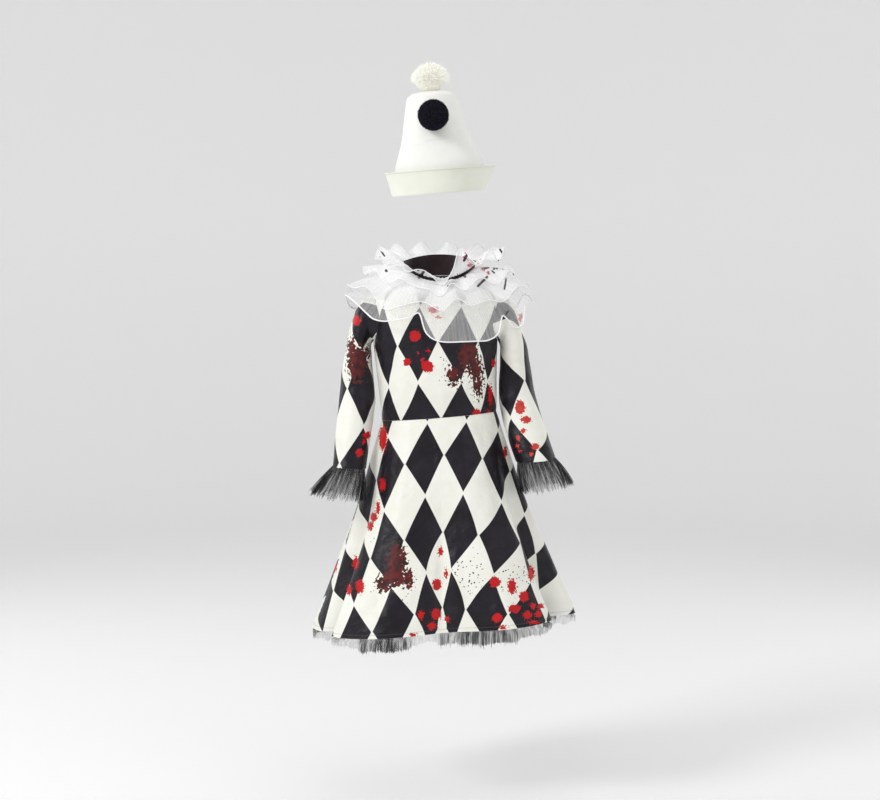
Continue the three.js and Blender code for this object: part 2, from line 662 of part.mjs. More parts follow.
// A frill of the ruff: gathered on the band, waving more and more towards its edge.
function frill({ name, edge, sewnAt, columns, rows, fall, arch }) {
  const edgeRound = allRound(edge);
  const surface = (angle, place) => {
    const turn = ((angle % 360) + 360) % 360;
    const reach = smooth(edgeRound, "angle", turn, "reach");
    const height = smooth(edgeRound, "angle", turn, "height");
    const start = bandSurface(angle, sewnAt).addScaledVector(bandFacing(angle, sewnAt), SEAM_GAP);
    const x = start.x + (reach * Math.sin(radians(angle)) - start.x) * place;
    const y = start.y + (-reach * Math.cos(radians(angle)) - start.y) * place;
    const sunk = (height - start.z) * Math.max(place, 0) ** fall;
    return new THREE.Vector3(x, y, start.z + sunk + arch * Math.sin(Math.PI * place));
  };
  add(
    name,
    wall({
      point: surface,
      normal: facing(surface, -1),
      across: roundTo(columns),
      up: evenly(rows, 0, 1),
      thickness: ORGANZA_WALL,
      closed: true,
    }),
    organza,
  );
}
FRILLS.forEach(frill);

// Hat: both pieces are tubes of felt, and the cone is closed at its crown
function hatSurface(rows) {
  return (angle, place) => {
    const value = (name) => smooth(rows, "place", place, name);
    const x = value("radius") * Math.sin(radians(angle));
    const y = -value("radius") * HAT_DEPTH_SHARE * Math.cos(radians(angle));
    return new THREE.Vector3(value("middle") + x, y, value("height") + HAT_LEAN * x + HAT_PITCH * y);
  };
}
function hatPiece(name, rows, crown) {
  const surface = hatSurface(rows);
  add(
    name,
    wall({
      point: surface,
      normal: facing(surface),
      across: roundTo(HAT_COLUMNS),
      up: evenly(rows.length - 1, 0, rows.length - 1),
      thickness: FELT_WALL,
      closed: true,
      crown,
    }),
    felt,
  );
  return surface;
}
const crownRow = HAT_CONE[HAT_CONE.length - 1];
const crownPoint = new THREE.Vector3(crownRow.middle, 0, crownRow.height + HAT_CROWN_RISE);
const coneSurface = hatPiece("hat_cone", HAT_CONE, crownPoint);
hatPiece("hat_brim", HAT_BRIM, null);

// Pompoms: the core's pole touches the hat, and the locks that would enter the hat are left off
const wasm = await Module();
wasm.setup();

function solidOf(geometry) {
  const bare = geometry.clone();
  bare.deleteAttribute("normal");
  bare.deleteAttribute("uv");
  const merged = mergeVertices(bare, 1e-4);
  return new wasm.Manifold(
    new wasm.Mesh({
      numProp: 3,
      vertProperties: merged.attributes.position.array,
      triVerts: new Uint32Array(merged.index.array),
    }),
  );
}

function geometryOf(solid) {
  const made = solid.getMesh();
  const geometry = new THREE.BufferGeometry();
  geometry.setAttribute("position", new THREE.BufferAttribute(made.vertProperties, 3));
  geometry.setIndex(new THREE.BufferAttribute(made.triVerts, 1));
  geometry.computeVertexNormals();
  return geometry;
}

function pompom(name, seat, away, material) {
  const upright = new THREE.Vector3(0, 1, 0);
  const turned = new THREE.Quaternion().setFromUnitVectors(upright, away);
  let solid = solidOf(new THREE.SphereGeometry(POMPOM_CORE, CORE_SLICES, CORE_RINGS).applyQuaternion(turned));
  const lockLength = POMPOM_REACH - POMPOM_CORE + LOCK_ROOT;
  for (let k = 0; k < LOCKS; k += 1) {
    const level = 1 - (2 * (k + 0.5)) / LOCKS;
    const ring = Math.sqrt(1 - level * level);
    const direction = new THREE.Vector3(
      ring * Math.cos(k * GOLDEN_TURN),
      level,
      ring * Math.sin(k * GOLDEN_TURN),
    );
    if (level < -NO_LOCK_TOWARDS_HAT) continue;
    const lock = new THREE.ConeGeometry(LOCK_BASE, lockLength, LOCK_SIDES, 1);
    lock.translate(0, POMPOM_REACH - lockLength / 2, 0);
    lock.applyQuaternion(new THREE.Quaternion().setFromUnitVectors(upright, direction));
    lock.applyQuaternion(turned);
    solid = solid.add(solidOf(lock));
  }
  const mesh = add(name, geometryOf(solid), material);
  mesh.position.copy(seat).addScaledVector(away, POMPOM_CORE + SEAM_GAP);
}

const coneFacing = facing(coneSurface);
const blackSeat = coneSurface(0, BLACK_POMPOM_PLACE);
pompom("pompom_black", blackSeat, coneFacing(0, BLACK_POMPOM_PLACE), blackYarn);
pompom("pompom_cream", crownPoint, new THREE.Vector3(0, 0, 1), creamYarn);

export default costume;
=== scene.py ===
# A child's pierrot costume as it is worn, hollow and with no wearer: dress, ruff and hat.
# Sizes are in millimetres where a surface is worked out and in metres where a mesh is made. +Z is up, and
# the front faces -Y. Angles run round the body: 0 is the middle of the front and 90 the +X side.
import math

import bpy
import numpy as np
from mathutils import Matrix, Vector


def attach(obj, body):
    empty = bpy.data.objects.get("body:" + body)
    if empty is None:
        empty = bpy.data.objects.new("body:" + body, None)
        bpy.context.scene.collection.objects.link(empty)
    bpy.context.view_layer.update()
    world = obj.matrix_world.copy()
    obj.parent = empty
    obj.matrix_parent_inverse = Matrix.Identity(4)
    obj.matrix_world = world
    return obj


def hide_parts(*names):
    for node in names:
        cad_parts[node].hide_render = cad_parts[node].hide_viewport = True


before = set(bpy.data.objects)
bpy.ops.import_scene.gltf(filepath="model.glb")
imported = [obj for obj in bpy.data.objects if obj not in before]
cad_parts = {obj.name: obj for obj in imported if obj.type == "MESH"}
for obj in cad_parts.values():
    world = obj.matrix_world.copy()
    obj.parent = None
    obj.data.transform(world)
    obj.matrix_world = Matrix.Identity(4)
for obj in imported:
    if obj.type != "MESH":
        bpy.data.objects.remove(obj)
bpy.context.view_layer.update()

# Bodice
# Three satin panels from the neck to the waist, with side seams under the arms and a join down the back.
# The satin is polyester, printed with black and ivory lozenges and, over them, with red drops, brown-red
# smears and black flecks. Each panel is one thin shell, and its flat cut carries the print.
MM = 0.001


def table(names, *rows):
    """Columns by name, as arrays, from one row for each section, fold or mark."""
    return dict(zip(names.split(), np.array(rows, float).T))


def smooth(rows, name, at, by="place"):
    """One column of a table at a place between its rows, on a smooth curve through them."""
    places, values = rows[by], rows[name]
    k = np.clip(np.searchsorted(places, at) - 1, 0, len(places) - 2)
    before, after = np.maximum(k - 1, 0), np.minimum(k + 2, len(places) - 1)
    span = places[k + 1] - places[k]
    share = (at - places[k]) / span
    leaving = (values[k + 1] - values[before]) / (places[k + 1] - places[before]) * span
    arriving = (values[after] - values[k]) / (places[after] - places[k]) * span
    square, cube = share**2, share**3
    start = (2 * cube - 3 * square + 1) * values[k] + (cube - 2 * square + share) * leaving
    return start + (3 * square - 2 * cube) * values[k + 1] + (cube - square) * arriving


def values_at(rows, place):
    """Every column of a table at a place, by name."""
    return {name: smooth(rows, name, place) for name in rows}


def sine(degrees):
    return np.sin(np.radians(degrees))


def cosine(degrees):
    return np.cos(np.radians(degrees))


TORSO = table(
    "place middle half_width front back side_z front_z back_z lean",
    (0.0, -2, 115, 88, 82, -264, -264, -264, 0.08), (0.18, -4, 117, 92, 86, -215, -215, -215, 0.06),
    (0.36, -7, 121, 96, 89, -160, -160, -160, 0.04), (0.5, -9, 124, 97, 91, -115, -115, -115, 0.02),
    (0.62, -8, 126, 94, 91, -74, -76, -74, 0), (0.74, -6, 126, 86, 86, -38, -50, -44, 0),
    (0.84, -3, 106, 75, 76, -17, -34, -20, 0), (1.0, 0, 62, 60, 58, 8, -14, 16, 0),
)
CHEST_SQUARENESS = 0.9
CREASE_COLUMNS, MARK_COLUMNS = "x0 z0 x1 z1 width rise", "x z half_width half_height"
CROSSING_COLUMNS = "x z across up"
ARMHOLE_BOTTOM, ARMHOLE_TOP, ARMHOLE_HALF_ANGLE = 0.5, 0.765, 29
ARMHOLE_MIDDLE, ARMHOLE_HALF = (ARMHOLE_BOTTOM + ARMHOLE_TOP) / 2, (ARMHOLE_TOP - ARMHOLE_BOTTOM) / 2
SATIN_WALL = 0.9


def around(angle, half_width, front, back, squareness):
    """Point on a rounded section of the body."""
    across, ahead = sine(angle), cosine(angle)
    x = half_width * np.sign(across) * np.abs(across) ** squareness
    return x, -np.where(ahead > 0, front, back) * np.sign(ahead) * np.abs(ahead) ** squareness


def height_round(angle, side_z, front_z, back_z):
    """Height round the body, from the sides' through the front's or the back's."""
    ahead = cosine(angle)
    return side_z + (np.where(ahead > 0, front_z, back_z) - side_z) * ahead**2


def torso(angle, place):
    """Point on the bodice, from the waist (place 0) to the neck (place 1)."""
    value = values_at(TORSO, place)
    x, y = around(angle, value["half_width"], value["front"], value["back"], CHEST_SQUARENESS)
    z = height_round(angle, value["side_z"], value["front_z"], value["back_z"])
    return np.stack([value["middle"] + x, y, z + value["lean"] * x], -1)


def facing(points, closed=False):
    """Directions square to a grid of points, out of the garment where its rows run up."""
    if closed:
        across = np.roll(points, -1, 1) - np.roll(points, 1, 1)
    else:
        across = np.gradient(points, axis=1)
    normal = np.cross(across, np.gradient(points, axis=0))
    return normal / np.maximum(np.linalg.norm(normal, axis=-1, keepdims=True), 1e-9)


RUMPLE_WAVES, RUMPLE_PEAK = 6, 3.2


def rumple(points, length, seed):
    """A soft uneven swell from -1 to 1 over the points, with swells about one length apart."""
    chance = np.random.default_rng(seed)
    total = np.zeros(points.shape[:-1])
    for _ in range(RUMPLE_WAVES):
        direction = chance.normal(size=3)
        direction /= np.linalg.norm(direction)
        pitch = length * chance.uniform(0.7, 1.5)
        total += np.sin(points @ direction * 2 * np.pi / pitch + chance.uniform(0, 6.3))
    return total / RUMPLE_PEAK


def from_line(flat, x0, z0, x1, z1):
    """For each flat point, the share of the way along a line and the distance to the line."""
    start, line = np.array([x0, z0]), np.array([x1 - x0, z1 - z0])
    along = np.clip((flat - start) @ line / (line @ line), 0, 1)
    return along, np.linalg.norm(flat - start - along[..., None] * line, axis=-1)


def creases(points, normal, rows, side=-1):
    """Height of soft ridges and troughs, each along a line on the front (side -1) or the back (side 1)."""
    total = np.zeros(points.shape[:-1])
    swell = 1 + 0.35 * rumple(points, 60, 5)
    for *line, width, rise in zip(*(rows[n] for n in CREASE_COLUMNS.split())):
        along, off = from_line(points[..., [0, 2]], *line)
        taper = np.sin(np.pi * np.clip(0.15 + 0.7 * along, 0, 1))
        total += rise * taper * np.exp(-((off / (width * swell)) ** 2))
    return total * np.clip(side * normal[..., 1] * 3 + 0.5, 0, 1)


# The eye that sees the costume from the front, 3.6 m away and just below the neck. It looks a little down,
# and the middle of its view meets the costume at the aim height.
EYE = np.array([0.0, -3600.0, -30.0])
EYE_TILT = math.radians(3.24)
AIM_HEIGHT = -234


def seen(points):
    """Places of the points as the eye sees them, in millimetres across and up from the neck base."""
    away = points - EYE
    depth = away @ np.array([0, math.cos(EYE_TILT), -math.sin(EYE_TILT)])
    up = away @ np.array([0, math.sin(EYE_TILT), math.cos(EYE_TILT)])
    return -EYE[1] * away[..., 0] / depth, AIM_HEIGHT - EYE[1] * up / depth


# The depth that stands for cloth with no mark near it
UNMARKED = -60.0


def depth_in_spots(points, normal, rows):
    """How far each point lies inside the nearest of the spots, in millimetres, on what faces the front."""
    across, up = seen(points)
    best = np.full(across.shape, UNMARKED)
    for x, z, half_width, half_height in zip(*(rows[n] for n in MARK_COLUMNS.split())):
        off = np.hypot((across - x) / half_width, (up - z) / half_height)
        best = np.maximum(best, (1 - off) * min(half_width, half_height))
    return np.where(normal[..., 1] < 0.1, best, UNMARKED)


def new_mesh(name, points, faces, rounded=True):
    """A mesh from points in millimetres and faces, shaded round or flat."""
    mesh = bpy.data.meshes.new(name)
    mesh.from_pydata(points.reshape(-1, 3) * MM, [], faces)
    mesh.polygons.foreach_set("use_smooth", np.full(len(faces), rounded))
    return mesh


def set_mark(mesh, mark, values):
    attribute = mesh.attributes.new(mark, "FLOAT", "POINT")
    attribute.data.foreach_set("value", values.astype(np.float32))


def cloth_mesh(name, points, wall, closed=False, cut=None, marks=None):
    """A mesh of a cloth wall: a grid of outer points, inner points one wall behind, and its edges."""
    rows, columns = points.shape[:2]
    normal = facing(points, closed)
    layers = [points] if wall == 0 else [points, points - wall * normal]
    index = np.arange(rows * columns).reshape(rows, columns)
    near, far = (index, np.roll(index, -1, 1)) if closed else (index[:, :-1], index[:, 1:])
    outer = np.stack([near[:-1], far[:-1], far[1:], near[1:]], -1).reshape(-1, 4)
    faces = [outer]
    if wall:
        behind = rows * columns
        faces.append(outer[:, ::-1] + behind)
        faces.append(np.stack([near[0] + behind, far[0] + behind, far[0], near[0]], -1))
        faces.append(np.stack([near[-1], far[-1], far[-1] + behind, near[-1] + behind], -1))
        if not closed:
            for column, order in ((0, 1), (-1, -1)):
                edge = index[:, column]
                side = np.stack([edge[:-1], edge[1:], edge[1:] + behind, edge[:-1] + behind], -1)
                faces.append(side[:, ::order])
    corners = np.concatenate(faces)
    mesh = new_mesh(name, np.stack(layers), corners.tolist())
    inside = np.zeros(len(corners), np.int32)
    inside[len(outer) : 2 * len(outer)] = wall > 0
    mesh.polygons.foreach_set("material_index", inside)
    if cut is not None:
        # The cut of a closed grid has one column more than its points
        low, high = cut[:, :-1], cut[:, 1:]
        places = np.stack([low[:-1], high[:-1], high[1:], low[1:]], 2).reshape(-1, 4, 2)
        if wall:
            flat = cut[:, :columns].reshape(-1, 2)
            edges = flat[corners[2 * len(outer) :] % (rows * columns)]
            places = np.concatenate([places, places[:, ::-1], edges])
        mesh.uv_layers.new(name="cut").data.foreach_set("uv", (places * MM).ravel())
    for mark, values in (marks or {}).items():
        set_mark(mesh, mark, np.tile(values.ravel(), len(layers)))
    mesh.validate()
    mesh.set_sharp_from_angle(angle=math.radians(65))
    return mesh


def new_object(name, data):
    made = bpy.data.objects.new(name, data)
    bpy.context.scene.collection.objects.link(made)
    return made


def place_piece(name, mesh, materials, slot, *nodes):
    """A piece of the costume in the scene: it rides with the costume and stands for the nodes named."""
    piece = new_object(name, mesh)
    for material in materials:
        mesh.materials.append(material)
    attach(piece, "root")
    if nodes:
        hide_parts(*nodes)
    return piece


def arc_cut(points, middle):
    """The flat cut of a grid: along its rows from the middle column, and along the middle column."""
    across = np.linalg.norm(np.diff(points, axis=1), axis=-1)
    u = np.concatenate([np.zeros((len(points), 1)), np.cumsum(across, 1)], 1)
    u = u - u[:, middle : middle + 1]
    v = np.concatenate([[0], np.cumsum(np.linalg.norm(np.diff(points[:, middle], axis=0), axis=-1))])
    return np.stack([u, np.broadcast_to(v[:, None], u.shape)], -1)


LOZENGE_WIDTH, LOZENGE_HEIGHT = 80, 151


def settle_print(cut, points, crossings):
    """Shifts the print softly on its cloth, so that its crossings lie where the eye sees them. A crossing
    is counted in lozenges across and up from the middle of a black one."""
    across, up = seen(points)
    places = np.stack([across, up], -1).reshape(-1, 2)
    marks = np.stack([crossings["x"], crossings["z"]], -1)
    wanted = np.stack([crossings["across"] * LOZENGE_WIDTH, crossings["up"] * LOZENGE_HEIGHT], -1)
    off = np.linalg.norm(places[:, None] - marks, axis=-1)
    # Of points that the eye sees at one place, the one nearer to the eye counts
    nearest = np.argmin(off + 0.03 * points[..., 1].reshape(-1, 1), axis=0)
    shift = wanted - cut.reshape(-1, 2)[nearest]
    count = len(marks)
    between = np.linalg.norm(marks[:, None] - marks, axis=-1)
    known = np.block([[between, np.ones((count, 1))], [np.ones((1, count)), np.zeros((1, 1))]])
    pull = np.linalg.solve(known, np.concatenate([shift, np.zeros((1, 2))]))
    return cut + (off @ pull[:count] + pull[count]).reshape(cut.shape)


def shader(tree, kind, inputs=None, **settings):
    """A shader node with its settings, and with values or other nodes' outputs on its inputs."""
    made = tree.nodes.new("ShaderNode" + kind)
    for key, value in settings.items():
        setattr(made, key, value)
    for key, value in (inputs or {}).items():
        if isinstance(value, bpy.types.NodeSocket):
            tree.links.new(value, made.inputs[key])
        else:
            made.inputs[key].default_value = value
    return made


def calc(tree, operation, *values):
    return shader(tree, "Math", dict(enumerate(values)), operation=operation).outputs[0]


def blend_colours(tree, share, first, second):
    return shader(tree, "Mix", {0: share, 6: first, 7: second}, data_type="RGBA").outputs[2]


def ramp(tree, value, low, high, start=0.0, end=1.0):
    """A value that goes smoothly from start to end as another goes from low to high."""
    inputs = {0: value, 1: low, 2: high, 3: start, 4: end}
    return shader(tree, "MapRange", inputs, interpolation_type="SMOOTHSTEP").outputs[0]


def noise(tree, vector, scale, detail=2.0):
    inputs = {"Vector": vector, "Scale": scale, "Detail": detail}
    return shader(tree, "TexNoise", inputs).outputs[0]


def attributes(tree, *names):
    return [shader(tree, "Attribute", attribute_name=name).outputs["Fac"] for name in names]


def new_material(name, **inputs):
    """A new material with constants on its surface's own sockets, its shader tree and its surface."""
    material = bpy.data.materials.new(name)
    material.use_nodes = True
    tree = material.node_tree
    surface = tree.nodes["Principled BSDF"]
    for key, value in inputs.items():
        surface.inputs[key.replace("_", " ").title().replace("Ior", "IOR")].default_value = value
    return material, tree, surface


def feed(tree, surface, **values):
    """Links colours, values and normals to the surface's sockets."""
    for key, value in values.items():
        tree.links.new(value, surface.inputs[key.replace("_", " ").title()])


def flat_cut(tree):
    return shader(tree, "UVMap", uv_map="cut").outputs[0]


def bump(tree, height, strength, distance, **more):
    inputs = {"Height": height, "Strength": strength, "Distance": distance, **more}
    return shader(tree, "Bump", inputs).outputs[0]


def effect(name, inputs, outputs):
    """A new shader node group with named inputs and outputs."""
    group = bpy.data.node_groups.new(name, "ShaderNodeTree")
    for title, kind, value in inputs:
        socket = group.interface.new_socket(title, in_out="INPUT", socket_type="NodeSocket" + kind)
        if value is not None:
            socket.default_value = value
    for title, kind in outputs:
        group.interface.new_socket(title, in_out="OUTPUT", socket_type="NodeSocket" + kind)
    return group, group.nodes.new("NodeGroupInput"), group.nodes.new("NodeGroupOutput")


def use_effect(tree, group, inputs):
    return shader(tree, "Group", inputs, node_tree=group)


# Lozenge print: every second lozenge of the grid is black, and a thin pale line keeps their tips apart
lozenges, given, made = effect("lozenge_print", [("Cut", "Vector", None)], [("Black", "Float")])
apart = shader(lozenges, "SeparateXYZ", {0: given.outputs["Cut"]})
u_share = calc(lozenges, "DIVIDE", apart.outputs[0], LOZENGE_WIDTH * MM)
v_share = calc(lozenges, "DIVIDE", apart.outputs[1], LOZENGE_HEIGHT * MM)
counts, offs = [], []
for way in ("ADD", "SUBTRACT"):
    # 100 keeps the count of lozenges above 0, and a half puts the middle of a black one on the cut's origin
    counted = calc(lozenges, "ADD", calc(lozenges, way, u_share, v_share), 100.5)
    counts.append(calc(lozenges, "FLOOR", counted))
    off = calc(lozenges, "SUBTRACT", calc(lozenges, "FRACT", counted), 0.5)
    offs.append(calc(lozenges, "ABSOLUTE", off))
even = calc(lozenges, "SUBTRACT", 1.0, calc(lozenges, "MODULO", calc(lozenges, "ADD", *counts), 2.0))
inside = ramp(lozenges, calc(lozenges, "MAXIMUM", *offs), 0.478, 0.488, 1.0, 0.0)
lozenges.links.new(calc(lozenges, "MULTIPLY", even, inside), made.inputs["Black"])

# Spatter print: drops with rough edges and small satellites, ragged smears, and flecks. Depths are in
# millimetres inside each spot.
DROP_RED = (0.55, 0.008, 0.012, 1)
spatter, given, made = effect(
    "spatter_print",
    [("Cut", "Vector", None), ("Drops", "Float", UNMARKED), ("Smears", "Float", UNMARKED),
     ("Flecks", "Float", UNMARKED), ("Ground", "Color", None), ("Drop Colour", "Color", DROP_RED)],
    [("Colour", "Color"), ("Covered", "Float")],
)
cut_place, drops = given.outputs["Cut"], given.outputs["Drops"]
edge_noise = calc(spatter, "SUBTRACT", noise(spatter, cut_place, 230, 5), 0.5)
rough_depth = calc(spatter, "MULTIPLY_ADD", edge_noise, 13.0, drops)
drop_mask = ramp(spatter, rough_depth, -0.5, 0.3)
cells = shader(spatter, "TexVoronoi", {"Vector": cut_place, "Scale": 210.0})
near_drop = ramp(spatter, drops, -9.0, 0.0, 0.0, 0.26)
satellites = ramp(spatter, calc(spatter, "SUBTRACT", near_drop, cells.outputs["Distance"]), 0.0, 0.06)
drop_mask = calc(spatter, "MAXIMUM", drop_mask, satellites)
ragged = calc(spatter, "SUBTRACT", noise(spatter, cut_place, 150, 6), 0.5)
smear_depth = calc(spatter, "MULTIPLY_ADD", ragged, 48.0, given.outputs["Smears"])
smear_mask = ramp(spatter, smear_depth, -0.8, 0.8)
fleck_cells = shader(spatter, "TexVoronoi", {"Vector": cut_place, "Scale": 200.0})
chosen = shader(spatter, "SeparateColor", {0: fleck_cells.outputs["Color"]}).outputs[0]
fleck_size = ramp(spatter, given.outputs["Flecks"], -2.0, 16.0, 0.0, 0.36)
fleck_size = calc(spatter, "MULTIPLY", fleck_size, ramp(spatter, chosen, 0.25, 0.9))
fleck_gap = calc(spatter, "SUBTRACT", fleck_size, fleck_cells.outputs["Distance"])
fleck_mask = ramp(spatter, fleck_gap, 0.0, 0.06)
smear_tone = ramp(spatter, noise(spatter, cut_place, 60, 3), 0.35, 0.65)
smear_colour = blend_colours(spatter, smear_tone, (0.045, 0.008, 0.01, 1), (0.125, 0.014, 0.012, 1))
drop_tone = ramp(spatter, noise(spatter, cut_place, 90, 2), 0.3, 0.7, 0.0, 0.45)
drop_colour = blend_colours(spatter, drop_tone, given.outputs["Drop Colour"], (0.38, 0.004, 0.008, 1))
print_colour = blend_colours(spatter, fleck_mask, given.outputs["Ground"], (0.012, 0.009, 0.012, 1))
print_colour = blend_colours(spatter, smear_mask, print_colour, smear_colour)
print_colour = blend_colours(spatter, drop_mask, print_colour, drop_colour)
spatter.links.new(print_colour, made.inputs["Colour"])
spatter.links.new(calc(spatter, "MAXIMUM", drop_mask, smear_mask), made.inputs["Covered"])

# Threads: a fine uneven height along and across the cut
threads, given, made = effect(
    "woven_threads",
    [("Cut", "Vector", None), ("Along", "Float", 900.0), ("Across", "Float", 5000.0)],
    [("Height", "Float")],
)
apart = shader(threads, "SeparateXYZ", {0: given.outputs["Cut"]})
stretched = shader(threads, "CombineXYZ", {
    0: calc(threads, "MULTIPLY", apart.outputs[0], given.outputs["Across"]),
    1: calc(threads, "MULTIPLY", apart.outputs[1], given.outputs["Along"]),
}).outputs[0]
threads.links.new(noise(threads, stretched, 1.0, 2), made.inputs["Height"])


BLACK_INKS = (0.006, 0.005, 0.008, 1), (0.013, 0.010, 0.016, 1)
GREYED_INKS = (0.30, 0.29, 0.30, 1), (0.34, 0.33, 0.34, 1)


def satin_material(name, drop_colour=DROP_RED, wrong_side=False):
    """Printed polyester satin; its wrong side is duller, and the print shows through it greyed."""
    material, tree, surface = new_material(
        name, specular_ior_level=0.2 if wrong_side else 0.26, sheen_weight=0.06, sheen_roughness=0.35,
        sheen_tint=(0.8, 0.75, 0.85, 1),
    )
    cut = flat_cut(tree)
    black = use_effect(tree, lozenges, {"Cut": cut}).outputs["Black"]
    shade = ramp(tree, noise(tree, cut, 14, 3), 0.3, 0.7)
    ivory = blend_colours(tree, shade, (0.84, 0.84, 0.76, 1), (0.89, 0.895, 0.83, 1))
    inks = GREYED_INKS if wrong_side else BLACK_INKS
    colour = blend_colours(tree, black, ivory, blend_colours(tree, shade, *inks))
    gloss = calc(tree, "MULTIPLY_ADD", noise(tree, cut, 35, 3), 0.10, 0.62 if wrong_side else 0.36)
    if not wrong_side:
        drops, smears, flecks = attributes(tree, "drops", "smears", "flecks")
        printed = use_effect(tree, spatter, {
            "Cut": cut, "Drops": drops, "Smears": smears, "Flecks": flecks, "Ground": colour,
            "Drop Colour": drop_colour,
        })
        colour = printed.outputs["Colour"]
        gloss = calc(tree, "MULTIPLY_ADD", printed.outputs["Covered"], 0.08, gloss)
    weave = use_effect(tree, threads, {"Cut": cut}).outputs["Height"]
    crumple = bump(tree, noise(tree, cut, 26, 3), 0.8, 0.006)
    satin_grain = bump(tree, weave, 0.22, 0.0002, Normal=crumple)
    feed(tree, surface, base_color=colour, roughness=gloss, normal=satin_grain)
    return material


satin = satin_material("harlequin_satin")
satin_inside = satin_material("harlequin_satin_wrong_side", wrong_side=True)

# Print on the bodice, as the eye sees it: red drops, brown-red smears and black flecks
BODICE_DROPS = table(
    MARK_COLUMNS,
    (-50, -106, 11, 11), (-66, -158, 7, 8), (-25, -167, 12, 12), (-35, -154, 4, 4), (-24, -136, 3, 3),
    (-44, -140, 2, 2), (73, -260, 8, 8), (97, -261, 5, 6), (101, -224, 4, 20), (107, -160, 4, 8),
)
BODICE_SMEARS = table(
    MARK_COLUMNS,
    (58, -148, 20, 28), (28, -184, 14, 20), (72, -176, 14, 24), (76, -204, 10, 24),
)
BODICE_FLECKS = table(
    MARK_COLUMNS,
    (4, -172, 17, 52), (72, -226, 18, 30), (26, -200, 20, 22),
)
# Main creases of the front: drag lines under the arms and above the waist
BODICE_CREASES = table(
    CREASE_COLUMNS,
    (-120, -118, -62, -150, 9, 1.4), (-122, -140, -74, -190, 10, -1.6), (106, -118, 62, -160, 9, 1.5),
    (104, -142, 70, -196, 9, -1.5), (-104, -236, -40, -222, 8, 1.0), (92, -236, 30, -218, 9, 1.2),
    (-70, -256, -52, -196, 7, -0.9), (54, -252, 60, -190, 8, -1.0), (10, -256, 4, -206, 8, 0.8),
)
BACK_CREASES = table(
    CREASE_COLUMNS,
    (-112, -120, -50, -164, 10, 1.4), (96, -122, 48, -172, 10, 1.4), (-90, -232, -24, -214, 9, -1.2),
    (84, -236, 20, -208, 9, -1.2), (-60, -150, -30, -96, 9, 1.0), (60, -150, 34, -90, 9, 1.0),
)
SEAM_DIP, SEAM_WIDTH, PUCKER_PITCH = 0.8, 5.0, 11.0
BODICE_CROSSINGS = table(
    CROSSING_COLUMNS,
    (-84, -128, -0.5, 0), (-4, -118, 0.5, 0), (76, -118, 1.5, 0), (122, -126, 2.5, 0),
    (-103, -207, -1, -0.5), (-44, -198, 0, -0.5), (44, -198, 1, -0.5), (94, -198, 2, -0.5),
    (-79, -278, -0.5, -1), (2, -272, 0.5, -1), (79, -269, 1.5, -1),
)


def seam_dip(distance, along, seed=3):
    """Dip of the cloth next to a seam, with small puckers along it."""
    pucker = 1 + 0.5 * np.sin(2 * np.pi * along / PUCKER_PITCH + 2 * np.sin(along / 23 + seed))
    return -SEAM_DIP * pucker * np.exp(-((distance / SEAM_WIDTH) ** 2))


def satin_piece(name, points, normal, cut, prints, outside=satin, closed=False):
    """A satin panel with its print and the marks on it."""
    depths = (depth_in_spots(points, normal, rows) for rows in prints)
    marks = dict(zip(("drops", "smears", "flecks"), depths))
    mesh = cloth_mesh(name + "_satin", points, SATIN_WALL, closed=closed, cut=cut, marks=marks)
    piece = place_piece(name + "_satin", mesh, (outside, satin_inside), "harlequin_satin", name)


def bodice_panel(name, columns, from_angle, to_angle, middle, crease_rows, side, print_at, crossings=None):
    """One panel between two angles; middle is the column that its flat cut is measured from."""
    # Rows lie closer together at the armhole, because the panel's edge curves there
    below = np.linspace(0, ARMHOLE_BOTTOM, 46)[:-1]
    beside = ARMHOLE_MIDDLE + ARMHOLE_HALF * sine(np.linspace(-90, 90, 40))
    above = np.linspace(ARMHOLE_TOP, 1, 24)[1:]
    place = np.concatenate([below, beside, above])
    off = np.clip(np.abs(place - ARMHOLE_MIDDLE) / ARMHOLE_HALF, 0, 1)
    drawn = ARMHOLE_HALF_ANGLE * np.sqrt(1 - off**2)
    start = from_angle + drawn * (from_angle != -180)
    end = to_angle - drawn * (to_angle != 180)
    share = np.linspace(0, 1, columns)
    angle = start[:, None] + (end - start)[:, None] * share
    points = torso(angle, np.broadcast_to(place[:, None], angle.shape))
    normal = facing(points)
    cut = arc_cut(points, middle)
    width = cut[:, -1, 0] - cut[:, 0, 0]
    from_edge, to_edge = share * width[:, None], (1 - share) * width[:, None]
    rise = creases(points, normal, crease_rows, side) + 0.5 * rumple(points, 75, 11)
    for distance in (from_edge, to_edge, cut[..., 1], cut[-1:, :, 1] - cut[..., 1]):
        rise = rise + seam_dip(distance, cut[..., 1] + cut[..., 0])
    points = points + rise[..., None] * normal
    printed = cut - np.array(print_at)
    if crossings:
        printed = settle_print(printed, points, crossings)
    prints = (BODICE_DROPS, BODICE_SMEARS, BODICE_FLECKS)
    satin_piece(name, points, normal, printed, prints)


bodice_panel("bodice_front", 121, -90, 90, 60, BODICE_CREASES, -1, (-37, 150), BODICE_CROSSINGS)
bodice_panel("bodice_back_right", 61, 90, 180, 60, BACK_CREASES, 1, (0, 150))
bodice_panel("bodice_back_left", 61, -180, -90, 0, BACK_CREASES, 1, (0, 150))

